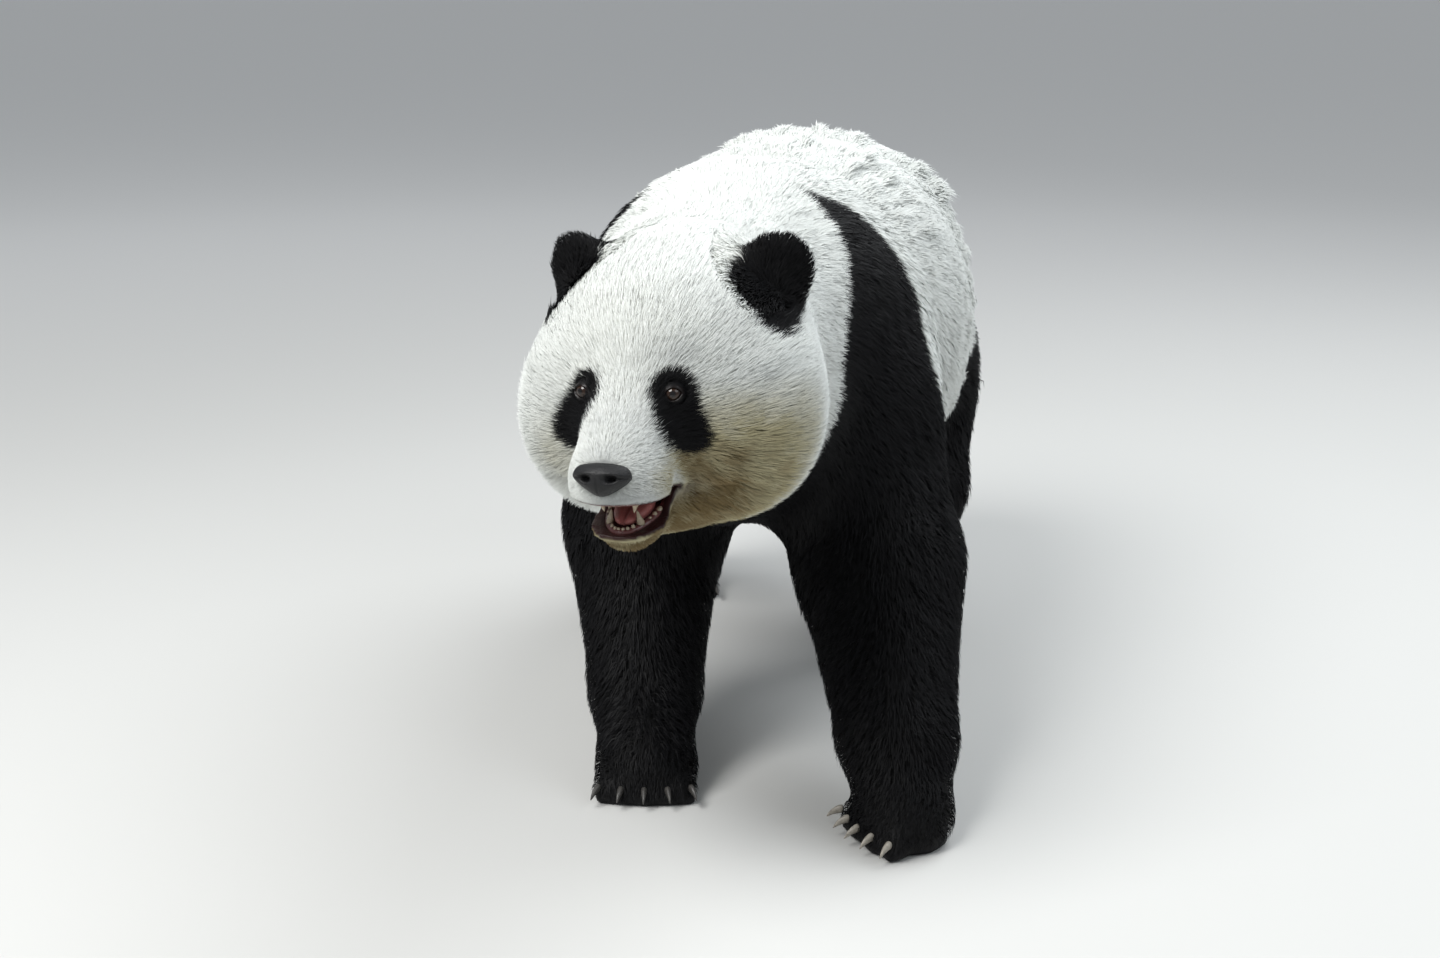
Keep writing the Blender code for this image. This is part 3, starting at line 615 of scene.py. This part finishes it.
def pattern(tree, kind, scale, **settings):
    node = tree.nodes.new(kind)
    node.inputs["Scale"].default_value = scale
    for label, value in settings.items():
        node.inputs[label].default_value = value
    spot = tree.nodes.new("ShaderNodeTexCoord")
    tree.links.new(spot.outputs["Object"], node.inputs["Vector"])
    return node.outputs[0]


def bumped(tree, shader, height, strength, distance):
    node = tree.nodes.new("ShaderNodeBump")
    node.inputs["Strength"].default_value = strength
    node.inputs["Distance"].default_value = distance
    tree.links.new(height, node.inputs["Height"])
    tree.links.new(node.outputs["Normal"], shader.inputs["Normal"])


hide, tree, shader = shader_of("hide")
shader.inputs["Specular IOR Level"].default_value = 0.22
bare = attribute_node(tree, "bare")
bare_share, flesh_share, wet_share = parted(tree, bare.outputs["Vector"])
colours = coloured_by_marks(tree)
# Painted shade: the hide takes the hair's colour nearer the root, and a little darker, for the shade
# under the coat.
colours.inputs["Along"].default_value = 0.45
colours.inputs["Tone"].default_value = 0.92
grain = pattern(tree, "ShaderNodeTexNoise", 420.0, Detail=4.0)
lips = mixed(tree, flesh_share, (0.006, 0.004, 0.004), (0.17, 0.058, 0.052))
lips = mixed(tree, sums(tree, "MULTIPLY", grain, flesh_share), lips, (0.10, 0.03, 0.03))
tree.links.new(mixed(tree, bare_share, colours.outputs["Colour"], lips), shader.inputs["Base Color"])
smooth = sums(tree, "MULTIPLY_ADD", wet_share, -0.5, colours.outputs["Roughness"])
tree.links.new(smooth, shader.inputs["Roughness"])
bumped(tree, shader, grain, 0.35, 0.0012)
skin.data.materials.append(hide)

# Where the hide is bare: the lips, the mouth's lining, the eyes' rims and the nose's bed.
skin_local = in_frame(skin_places, TO_HEAD)
lining = 1 - ramp(gap, 0.0010, 0.0030)
lip = 1 - ramp(gap, 0.0020, 0.0036)
lip *= ramp(-skin_local[:, 1], 0.050, 0.070)
LIP_CORNER = (0.0390, -0.1190, -0.0890)
from_corner = (np.stack([across, ahead, above], axis=1) - LIP_CORNER) / [1, 1, 0.8]
lip = np.maximum(lip, 1 - ramp(np.linalg.norm(from_corner, axis=1), 0.008, 0.013))
lining *= ramp(-skin_local[:, 1], 0.050, 0.060)
eye_rim = np.zeros(len(skin_places))
for side_name, centre in EYES.items():
    forward, outward, upward = EYE_AXES[side_name]
    q = skin_places - np.array(centre)
    ring = np.hypot(q @ np.array(outward) / OPENING[0], q @ np.array(upward) / OPENING[1])
    eye_rim = np.maximum(eye_rim, (1 - ramp(ring, 1.18, 1.36)) * (q @ np.array(forward) > 0))
bare_skin = np.maximum.reduce([lip, lining, eye_rim, bed])
near_lips = (1 - ramp(gap, 0.008, 0.016)) * ramp(-skin_local[:, 1], 0.050, 0.070)
throat = ramp(-skin_local[:, 1], 0.075, 0.120)
front_lip = ramp(-skin_local[:, 1], 0.135, 0.165)
beside_roof = ramp(across, 0.026, 0.032)
outside_teeth = np.where(in_jaw[:, 2] < 0.006, ramp(beside_arch, 1.00, 1.12), beside_roof)
fleshy = lining * (0.15 + 0.60 * throat) * (1 - 0.85 * outside_teeth)
fleshy = np.maximum(fleshy, 0.12 * lip * front_lip)
wet = np.maximum(lining, 0.6 * eye_rim)
put_vectors(skin.data, "bare", np.stack([bare_skin, fleshy, wet], axis=1))

# -------- eyes
# Two glossy balls of dark brown glass with a domed clear front, set into the lids.
glassy, tree, shader = shader_of("eye_glass")
pupil = attribute_node(tree, "from_pupil")
rings = tree.nodes.new("ShaderNodeValToRGB")
tree.links.new(pupil.outputs["Fac"], rings.inputs["Fac"])
IRIS = (  # angle from the pupil's middle, and the colour there
    (0.22, (0.004, 0.003, 0.003, 1)), (0.27, (0.020, 0.009, 0.005, 1)), (0.48, (0.026, 0.012, 0.006, 1)),
    (0.56, (0.005, 0.003, 0.003, 1)), (0.66, (0.012, 0.007, 0.006, 1)),
)
stops = rings.color_ramp.elements
for number, (position, colour) in enumerate(IRIS):
    if number < 2:
        stops[number].position = position
        stops[number].color = colour
    else:
        stops.new(position).color = colour
tree.links.new(rings.outputs["Color"], shader.inputs["Base Color"])
for label, value in (
    ("Roughness", 0.06), ("Specular IOR Level", 0.25), ("Coat Weight", 0.5), ("Coat Roughness", 0.02),
):
    shader.inputs[label].default_value = value


def facing(first, second, third):
    """The turn that carries X, Y and Z to three directions; X turns round if it would mirror."""
    turn = Matrix((first, second, third)).transposed().to_4x4()
    return turn if turn.determinant() > 0 else facing(-first, second, third)


def finished(mesh, name, material):
    """The mesh as a piece of its own, shaded smooth and with its material."""
    piece = object_from(mesh, name)
    piece.data.shade_smooth()
    piece.data.materials.append(material)
    return piece


for side_name, centre in EYES.items():
    forward, outward, upward = EYE_AXES[side_name]
    ball = bmesh.new()
    bmesh.ops.create_uvsphere(ball, u_segments=48, v_segments=32, radius=EYE_RADIUS)
    for vert in ball.verts:
        dome = max(0.0, vert.co.z / EYE_RADIUS - 0.80) / 0.20
        vert.co.z += 0.0009 * dome * dome * (3 - 2 * dome)
    ball.transform(Matrix.Translation(centre) @ facing(outward, upward, forward))
    eye = finished(ball, "eyeball_" + side_name, glassy)
    places = corners_of(eye.data) - np.array(centre)
    spot = eye.data.attributes.new("from_pupil", "FLOAT", "POINT")
    angle = np.arccos(np.clip(unit(places) @ np.array(forward), -1, 1))
    spot.data.foreach_set("value", angle.astype(np.float32))
    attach(eye, "root")
    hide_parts("eye_" + side_name)

# -------- nose
# The bare leather of the nose, cast over its bed: grained, damp and black, broad above and
# narrow below, with two comma-shaped nostrils and a groove down to the lip.
NOSE_SIZE = (0.0290, 0.0175, 0.0185)
leather = bmesh.new()
bmesh.ops.create_icosphere(leather, subdivisions=6, radius=1)
for vert in leather.verts:
    x, y, z = vert.co
    side = math.copysign(1.0, x)
    taper = 1.0 - 0.52 * (-z) ** 1.2 if z < 0 else min(1.30, max(0.05, 1 - z * z) ** -0.25)
    front = max(0.0, -y)
    pit = 0.66 * lobe(abs(x), z, (0.46, -0.12), (0.19, 0.17))
    slit_height = -0.18 + 0.25 * (abs(x) - 0.40)
    slit = 0.30 * math.exp(-(((z - slit_height) / 0.075) ** 2)) * (0.40 < abs(x) < 0.95)
    slit *= 1.0 - 0.5 * abs((abs(x) - 0.65) / 0.3)
    ridge = 0.10 * lobe(abs(x), z, (0.50, 0.16), (0.30, 0.20))
    groove = 0.10 * math.exp(-((x / 0.05) ** 2)) * min(1.0, max(0.0, 0.25 - z))
    inward = front * (max(pit, slit if slit > 0 else 0.0) + groove - ridge)
    top = 0.72 if z > 0 else 1.0
    vert.co = Vector((x * NOSE_SIZE[0] * taper, (y + inward) * NOSE_SIZE[1], z * NOSE_SIZE[2] * top))
leather.transform(HEAD @ Matrix.Translation(NOSE_PLACE) @ Matrix.Rotation(math.radians(-14), 4, "X"))


def mottled(name, scale, detail, dark, light, rise, base, **settings):
    """A stuff blotched between two colours, rougher from base by up to rise as it pales."""
    material, tree, shader = shader_of(name)
    blotches = pattern(tree, "ShaderNodeTexNoise", scale, Detail=detail, **settings)
    tree.links.new(mixed(tree, blotches, dark, light), shader.inputs["Base Color"])
    tree.links.new(sums(tree, "MULTIPLY_ADD", blotches, rise, base), shader.inputs["Roughness"])
    return material, tree, shader, blotches


nose_skin, tree, shader, _ = mottled(
    "nose_skin", 160.0, 3.0, (0.0025, 0.0025, 0.003), (0.009, 0.009, 0.010), 0.25, 0.38
)
shader.inputs["Specular IOR Level"].default_value = 0.35
bumped(tree, shader, pattern(tree, "ShaderNodeTexVoronoi", 720.0), 0.55, 0.0006)
nose = finished(leather, "nose_leather", nose_skin)
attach(nose, "root")
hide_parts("nose")

# -------- teeth and gums
# Horseshoes of wet gum under the lips, with ivory teeth set in them: small cutting teeth in
# front, a long curved canine each side and blunt cheek teeth behind.
LOWER_ARCH = (0.0265, -0.076, -0.142)  # half width, back, front
UPPER_ARCH = (0.0290, -0.072, -0.160)
UPPER_JAW = HEAD @ Matrix.Translation(JAW_HINGE) @ Matrix.Rotation(math.atan(ROOF_SLOPE), 4, "X")
UPPER_JAW @= Matrix.Rotation(math.pi, 4, "Y")
TOOTH_ROW = [  # share round the half arch, height, half width, half thickness, bend in degrees
    (0.055, 0.0034, 0.0018, 0.0015, 4), (0.155, 0.0036, 0.0019, 0.0016, 4),
    (0.265, 0.0044, 0.0021, 0.0018, 6), (0.420, 0.0150, 0.0038, 0.0035, 24),
    (0.580, 0.0024, 0.0024, 0.0020, 0), (0.680, 0.0028, 0.0034, 0.0024, 0),
    (0.790, 0.0030, 0.0042, 0.0028, 0), (0.910, 0.0028, 0.0044, 0.0030, 0),
]


def on_arch(arch, share):
    half_width, back, front = arch
    angle = share * math.pi / 2
    return Vector((half_width * math.sin(angle), front + (back - front) * (1 - math.cos(angle)), 0))


def along_arch(arch, share):
    return (on_arch(arch, share + 0.01) - on_arch(arch, share - 0.01)).normalized()


def lofted(mesh, stations, sides):
    """Rings at the given places, joined into one closed skin; each station is a matrix."""
    last = None
    for place in stations:
        ring = bmesh.ops.create_circle(mesh, segments=sides, radius=1.0, matrix=place)["verts"]
        if last:
            both = set(last) | set(ring)
            rims = {e for v in both for e in v.link_edges if set(e.verts) <= both}
            rims = [e for e in rims if (e.verts[0] in ring) == (e.verts[1] in ring)]
            rims = [e for e in rims if len(e.link_faces) < 2]
            bmesh.ops.bridge_loops(mesh, edges=rims)
        else:
            mesh.faces.new(ring)
        last = ring
    mesh.faces.new(last)


CANINE = 0.010  # a tooth taller than this is a canine: pointed, and curved back


def tooth(mesh, frame_of_arch, arch, share, height, wide, thick, bend):
    spot = on_arch(arch, share)
    along = along_arch(arch, share)
    out = Vector((along.y, -along.x, 0)) * (1 if along.x >= 0 else -1)
    out = out if out.dot(spot - Vector((0, arch[1], 0))) > 0 else -out
    base = facing(along, out, Vector((0, 0, 1)))
    base = frame_of_arch @ Matrix.Translation(spot + Vector((0, 0, 0.0022))) @ base
    tip_size, taper = (0.12, 1.4) if height > CANINE else (0.62, 3.0)
    stations = []
    rings = 7
    for i in range(rings):
        rise = i / (rings - 1)
        swell = 1.0 + 0.18 * math.sin(math.pi * min(1.0, rise * 2.2))
        size = swell * (1 - (1 - tip_size) * rise**taper)
        if i == rings - 1:
            size *= 0.55
        back = math.radians(bend) * rise
        behind = -0.35 * height * math.sin(back) - 0.1 * height * rise * (bend > 10)
        place = Matrix.Translation((0, behind, height * rise)) @ Matrix.Rotation(back, 4, "X")
        stations.append(base @ place @ Matrix.Diagonal((wide * size, thick * size, 1, 1)))
    lofted(mesh, stations, 12)


gum_flesh, tree, shader, blotches = mottled(
    "gum_flesh", 240.0, 3.0, (0.06, 0.018, 0.018), (0.20, 0.07, 0.065), 0.25, 0.18
)
bumped(tree, shader, blotches, 0.3, 0.0008)
ivory, tree, shader, _ = mottled("ivory", 190.0, 4.0, (0.24, 0.18, 0.11), (0.50, 0.43, 0.32), 0.25, 0.12)
bumped(tree, shader, pattern(tree, "ShaderNodeTexNoise", 900.0, Detail=2.0), 0.15, 0.0003)
for label, place, arch in (("lower", JAW, LOWER_ARCH), ("upper", UPPER_JAW, UPPER_ARCH)):
    ridge = bmesh.new()
    stations = []
    for i in range(41):
        share = 2 * i / 40 - 1
        along = along_arch(arch, share)
        turn = Matrix((Vector((along.y, -along.x, 0)), Vector((0, 0, 1)), along)).transposed().to_4x4()
        size = Matrix.Diagonal((0.0040, 0.0038 * (1.0 + 0.10 * math.sin(i * 2.1)), 1, 1))
        stations.append(place @ Matrix.Translation(on_arch(arch, share)) @ turn @ size)
    lofted(ridge, stations, 12)
    bmesh.ops.recalc_face_normals(ridge, faces=ridge.faces[:])
    gum = finished(ridge, "gum_ridge_" + label, gum_flesh)
    row = bmesh.new()
    for share, height, wide, thick, bend in TOOTH_ROW:
        for side in (-1, 1):
            grown = height * (1.0 if label == "lower" else 0.80 if height > CANINE else 0.55)
            tooth(row, place, arch, share * side, grown, wide, thick, bend)
    bmesh.ops.recalc_face_normals(row, faces=row.faces[:])
    teeth = finished(row, "teeth_" + label, ivory)
    for piece in (gum, teeth):
        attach(piece, "root")
        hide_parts("gum_" + label)

# -------- tongue
# A thick wet leaf on the floor of the mouth, grooved along its middle, rough with small bumps.
leaf = bmesh.new()
bmesh.ops.create_icosphere(leaf, subdivisions=5, radius=1)
for vert in leaf.verts:
    x, y, z = vert.co
    groove = 0.30 * math.exp(-((x / 0.16) ** 2)) if z > 0 else 0.0
    edge = 0.22 * (abs(x) ** 2) * (z > -0.2)
    top = 0.0040 + 0.0030 * max(0.0, -y) ** 2 + 0.0088 * (z - groove + edge)
    vert.co = Vector((0.0185 * x * (1.0 + 0.14 * y), -0.100 + 0.036 * y, top))
leaf.transform(JAW)
tongue_flesh, tree, shader, _ = mottled(
    "tongue_flesh", 130.0, 3.0, (0.26, 0.065, 0.060), (0.50, 0.19, 0.17), 0.3, 0.22
)
bumped(tree, shader, pattern(tree, "ShaderNodeTexVoronoi", 950.0), 0.45, 0.0005)
tongue = finished(leaf, "tongue_leaf", tongue_flesh)
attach(tongue, "root")
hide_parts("tongue")

# -------- claws
# Five curved horn claws on each paw, streaked along their length and half covered by the hair
# of the toes: dark on three of the paws, and paler, almost ivory at the tip, on the left forepaw.
HORNS = {}
for label, root_colour, tip_colour in (
    ("pale", (0.075, 0.070, 0.065), (0.46, 0.42, 0.35)),
    ("dark", (0.012, 0.011, 0.011), (0.080, 0.075, 0.068)),
):
    HORNS[label], tree, shader, _ = mottled(
        "horn_" + label, 260.0, 4.0, root_colour, tip_colour, 0.3, 0.25, Distortion=1.0
    )
    bumped(tree, shader, pattern(tree, "ShaderNodeTexNoise", 700.0, Detail=3.0), 0.25, 0.0004)
for name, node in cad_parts.items():
    if name.startswith("claw_"):
        node.data.materials.clear()
        node.data.materials.append(HORNS["pale" if "fore_left" in name else "dark"])
        weld = node.modifiers.new("weld", "WELD")
        weld.merge_threshold = 1e-5
        rounder = node.modifiers.new("rounder", "SUBSURF")
        rounder.levels = rounder.render_levels = 2

# -------- coat
# Dense coarse hair in short overlapping locks, lying along the body from the nose to the tail
# and down the legs, and reaching out to the solids' outline. It is rooted in the hide.
TOES = {}
for end in ("fore", "hind"):
    for side_name in ("left", "right"):
        paw = sum(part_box(f"{end}paw_{side_name}"), Vector()) / 2
        claws = [sum(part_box(f"claw_{end}_{side_name}_{i}"), Vector()) / 2 for i in range(1, 6)]
        tips = sum(claws, Vector()) / 5
        TOES[f"{end}paw_{side_name}"] = np.array((tips - paw).normalized())
DOWN_LEG = (0.0, 0.22, -1.0)
NOSE_TIP = np.array(HEAD @ Vector((0, -0.225, -0.050)))
side_of_body = np.clip((skin_places[:, 0] - BODY_MIDDLE) / 0.12, -1, 1)


def backward(outward, back, down):
    """Along the body towards the tail, and out and down by how far a place is to the side."""
    level = np.full(len(side_of_body), back)
    return np.stack([outward * side_of_body, level, -down * np.abs(side_of_body)], axis=1)


heading = {
    "trunk": backward(0.10, 1.0, 0.42),
    "neck": backward(0.30, 1.0, 0.55),
    "shoulders": backward(0.20, 0.8, 1.1),
    "foreleg": DOWN_LEG,
    "hindleg": DOWN_LEG,
    "tail": unit(skin_places - [0.008, 0.60, 0.60]),
    "head": unit(skin_places - NOSE_TIP) + [0, 0.1, 0],
    "jaw": (0.0, 1.0, -0.25),
}
lie = np.zeros_like(skin_places)
for name, values in heading.items():
    lie[node_of == name] = unit(np.broadcast_to(values, lie.shape))[node_of == name]
for name, toward in TOES.items():
    lie[nearest == name] = toward * 0.9 + [0, 0, -0.35]
for side_name, side in (("left", 1.0), ("right", -1.0)):
    ear_root = np.array(HEAD @ Vector((0.085 * side, 0.030, 0.085)))
    on_ear = nearest == "ear_" + side_name
    lie[on_ear] = unit(skin_places - ear_root)[on_ear]
lie = unit(spread(unit(lie), edges, 14))
hide_normals = normals_of(skin.data)
hair_height = np.linalg.norm(form_places - skin_places, axis=1)
hair_height = np.maximum(hair_height, 0.0021 * near_lips)
skin_marks = markings(form_places + 0.6 * lie * hair_height[:, None])
put_vectors(skin.data, "marks", skin_marks)
triangles = read(skin.data.polygons, "vertices", 3, np.int32)
middles = skin_places[triangles].mean(axis=1)
first, second, third = (skin_places[triangles[:, k]] for k in range(3))
areas = 0.5 * np.linalg.norm(np.cross(second - first, third - first), axis=1)
furred = np.clip(1 - bare_skin[triangles].mean(axis=1) * 1.6, 0, 1)
furred *= ramp(middles[:, 2], 0.004, 0.012) * (hair_height[triangles].mean(axis=1) > 0.0012)
triangle_node = node_of[triangles[:, 0]]
in_face = np.isin(triangle_node, ["head", "jaw"])
middle_local = in_frame(middles, TO_HEAD)
face_part = in_face & (middle_local[:, 1] < -0.020)
# How thickly the hair grows on each triangle: most round the muzzle and along the back.
thickness = np.ones(len(triangles))
from_muzzle = (middle_local[in_face] - [0, -0.17, -0.05]) / [0.07, 0.07, 0.06]
thickness[in_face] += 1.6 * np.exp(-(np.linalg.norm(from_muzzle, axis=1) ** 2))
upward = hide_normals[triangles].mean(axis=1)[:, 2]
on_trunk = np.isin(triangle_node, ["trunk", "tail"])
thickness[on_trunk] *= 0.55 + 1.35 * ramp(upward[on_trunk], -0.2, 0.7)
# How much a hair is shaded as the hide under it is, less where it is black.
as_hide = np.where(skin_marks[:, 0] > 0.5, 0.55, 0.84)

hair, tree, shader = shader_of("hair")
along_hair, tone_of_hair, _ = parted(tree, attribute_node(tree, "strand").outputs["Vector"])
colours = coloured_by_marks(tree)
tree.links.new(along_hair, colours.inputs["Along"])
tree.links.new(tone_of_hair, colours.inputs["Tone"])
tree.links.new(colours.outputs["Colour"], shader.inputs["Base Color"])
tree.links.new(colours.outputs["Roughness"], shader.inputs["Roughness"])
shader.inputs["Specular IOR Level"].default_value = 0.14


def unwrap_of(chosen, name):
    """The hide under one part of the coat laid out flat: a place in the square for each corner."""
    flat = bmesh.new()
    flat.from_mesh(skin.data)
    flat.faces.ensure_lookup_table()
    keep = set(chosen.tolist())
    bmesh.ops.delete(flat, geom=[f for f in flat.faces if f.index not in keep], context="FACES")
    sheet = object_from(flat, name + "_pattern")
    bpy.context.view_layer.objects.active = sheet
    sheet.select_set(True)
    sheet.data.uv_layers.new(name="flat")
    bpy.ops.object.mode_set(mode="EDIT")
    bpy.ops.mesh.select_all(action="SELECT")
    bpy.ops.uv.smart_project(angle_limit=math.radians(66), island_margin=0.004)
    bpy.ops.object.mode_set(mode="OBJECT")
    flat_places = read(sheet.data.uv_layers["flat"].data, "uv", 2).astype(float)
    bpy.data.objects.remove(sheet)
    return flat_places.reshape(-1, 3, 2)


BAKE_PATCH = 0.003  # the side of the patch of the OFBake map that each blade has
SPREAD_OF_RISE, SPREAD_OF_TWIST = np.radians(4), np.radians(34)
STRAY_SHARE, STRAY_LENGTH = 0.025, 1.08
PAIR_WIDTH = (0.85, 1.0)  # of a blade's two pairs of corners, by its width


def grow_coat(name, part, count, width, seed, lock, lift=(62, 12), even=0.30, curl=12.0, uneven=0.04):
    """Locks of hair over the hide's triangles in part, as one mesh of tapering blades.

    A blade is a four-cornered face and a three-cornered tip. Lift is its angle to the hide at
    the root and at the tip, and curl the spread of its heading, in degrees; even is how far the
    tips of a lock draw together, and uneven how much heading and length differ between locks.
    """
    rng = np.random.default_rng(seed)
    chosen = np.nonzero(part & (furred > 0.02))[0]
    share = np.cumsum(areas[chosen] * furred[chosen] * thickness[chosen])
    ticks = (np.arange(count) + rng.random(count)) / count * share[-1]
    pick = np.searchsorted(share, ticks).clip(0, len(chosen) - 1)
    on = chosen[pick]
    a, b = rng.random(count), rng.random(count)
    fold = a + b > 1
    a[fold], b[fold] = 1 - a[fold], 1 - b[fold]
    shares = np.stack([1 - a - b, a, b], axis=1)

    def at_root(values):
        return (values[triangles[on]] * shares[:, :, None]).sum(axis=1)

    root = at_root(skin_places)
    normal = unit(at_root(hide_normals))
    along = at_root(lie)
    height = at_root(hair_height[:, None])[:, 0]
    along = unit(along - normal * (along * normal).sum(axis=1, keepdims=True))
    aside = np.cross(normal, along)
    sway = 12 * uneven * noise(root, lock * 2.4, 11)
    turn = np.radians(curl) * (rng.standard_normal(count) + sway)
    along = along * np.cos(turn)[:, None] + aside * np.sin(turn)[:, None]
    stray = np.where(rng.random(count) < STRAY_SHARE, STRAY_LENGTH, 1)
    height = height * (0.87 + 0.20 * rng.random(count) + uneven * noise(root, lock * 2, 12)) * stray
    rises = np.radians(lift)[None, :] + SPREAD_OF_RISE * rng.standard_normal((count, 1))
    length = 2 * height / np.maximum(np.sin(rises).sum(axis=1), 0.25)
    stations = [root - normal * 0.0012]
    for rise in rises.T:
        step = along * np.cos(rise)[:, None] + normal * np.sin(rise)[:, None]
        stations.append(stations[-1] + step * (length / 2)[:, None])
    jitter = np.stack([noise(root, lock, k) for k in (21, 22, 23)], axis=1)
    cell = np.floor((root + 0.35 * lock * jitter) / lock)
    key = (cell @ np.array([1.0, 4096.0, 4096.0**2])).astype(np.int64)
    found, member = np.unique(key, return_inverse=True)
    size = np.bincount(member)
    lock_tone = rng.random(len(found))[member]
    for k in (1, 2):
        middle = [np.bincount(member, stations[k][:, j]) / size for j in range(3)]
        pull = even * (k / 2) ** 1.5
        stations[k] = stations[k] * (1 - pull) + np.stack(middle, axis=1)[member] * pull
    twist = SPREAD_OF_TWIST * rng.standard_normal(count)
    forward = unit(stations[-1] - stations[0])
    blade_side = unit(np.cross(forward, normal))
    blade_up = np.cross(blade_side, forward)
    flat_side = blade_side * np.cos(twist)[:, None] + blade_up * np.sin(twist)[:, None]
    blade_normal = unit(np.cross(flat_side, forward))
    blade_normal *= np.sign((blade_normal * normal).sum(axis=1, keepdims=True) + 1e-9)
    widths = width * (0.75 + 0.5 * rng.random(count))
    widths = widths * np.sqrt(np.clip(height / height.mean(), 0.25, 1.6))
    corners = np.empty((count, 5, 3))
    for k in (0, 1):
        half = flat_side * (0.5 * widths * PAIR_WIDTH[k])[:, None]
        corners[:, 2 * k] = stations[k] - half
        corners[:, 2 * k + 1] = stations[k] + half
    corners[:, 4] = stations[2]
    corners[:, :, 2] = np.maximum(corners[:, :, 2], 0.0008)
    flip = (np.cross(flat_side, forward) * normal).sum(axis=1) < 0
    loops = (np.arange(count) * 5)[:, None] + [0, 1, 3, 2, 2, 3, 4]
    loops[flip] = loops[flip][:, [3, 2, 1, 0, 6, 5, 4]]
    starts = (np.arange(count) * 7)[:, None] + [0, 4]
    data = bpy.data.meshes.new(name)
    data.vertices.add(count * 5)
    data.loops.add(loops.size)
    data.polygons.add(count * 2)
    data.vertices.foreach_set("co", corners.astype(np.float32).ravel())
    data.loops.foreach_set("vertex_index", loops.astype(np.int32).ravel())
    data.polygons.foreach_set("loop_start", starts.astype(np.int32).ravel())
    flat_share = at_root(as_hide[:, None])
    soft = unit(normal * flat_share + blade_normal * (1 - flat_share))
    put_vectors(data, "custom_normal", np.repeat(soft, 5, axis=0))
    mark = markings(stations[-1] + rng.normal(0, 0.0022, (count, 3)), 0.002)
    put_vectors(data, "marks", np.repeat(mark, 5, axis=0))
    tone = 0.93 + 0.10 * rng.random(count) + 0.08 * (lock_tone - 0.5) + 0.04 * noise(root, 0.05, 31)
    steps = np.array([0.0, 0.0, 0.5, 0.5, 1.0])
    strand = np.zeros((count, 5, 3))
    strand[:, :, 0] = steps
    strand[:, :, 1] = tone[:, None]
    put_vectors(data, "strand", strand.reshape(-1, 3))
    spot = (unwrap_of(chosen, name)[pick] * shares[:, :, None]).sum(axis=1)
    spot = BAKE_PATCH + (1 - 2 * BAKE_PATCH) * spot
    outline = np.stack([[-0.5, 0.5, -0.5, 0.5, 0.0], steps - 0.5], axis=1) * BAKE_PATCH
    patch = spot[:, None, :] + outline[None]
    layer = data.uv_layers.new(name="OFBake")
    layer.data.foreach_set("uv", patch.reshape(-1, 2)[loops.ravel()].astype(np.float32).ravel())
    data.materials.append(hair)
    data.update()
    data.validate()
    obj = placed(name, data)
    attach(obj, "root")
    return obj


RUMP_START = 0.42
BODY_LOCKS = {"lock": 0.012, "even": 0.0, "lift": (54, 9), "curl": 7, "uneven": 0.0}
LEG_LOCKS = {"lock": 0.009, "even": 0.22}
left = middles[:, 0] > BODY_MIDDLE
trunk = triangle_node == "trunk"
flank = trunk & (middles[:, 1] < RUMP_START)
rump = (trunk & (middles[:, 1] >= RUMP_START)) | (triangle_node == "tail")
coats = [  # name, where it grows, how many blades, their width, and the set of their locks
    ("coat_face", face_part, 64000, 0.00062, {"lock": 0.005, "curl": 8}),
    ("coat_crown", in_face & ~face_part, 50000, 0.0009, {"lock": 0.008, "curl": 10}),
    ("coat_ears", triangle_node == "ear", 15000, 0.0010, {"lock": 0.007, "curl": 14}),
    ("coat_neck", triangle_node == "neck", 50000, 0.0011, {"lock": 0.010, "even": 0.16}),
    ("coat_band", triangle_node == "shoulders", 32000, 0.0014, {"lock": 0.011, "even": 0.20}),
    ("coat_flank_left", flank & left, 62000, 0.0013, BODY_LOCKS),
    ("coat_flank_right", flank & ~left, 60000, 0.0013, BODY_LOCKS),
    ("coat_rump", rump, 58000, 0.0013, BODY_LOCKS),
]
for side_name, on_side in (("left", left), ("right", ~left)):
    for end, count, width in (("fore", 31000, 0.0013), ("hind", 23000, 0.0014)):
        on_leg = np.isin(triangle_node, [end + "leg", end + "paw"]) & on_side
        coats.append((f"coat_{end}leg_{side_name}", on_leg, count, width, LEG_LOCKS))
for number, (name, part, count, width, extra) in enumerate(coats):
    lock_mesh = grow_coat(name, part, count, width, seed=100 + number, **extra)
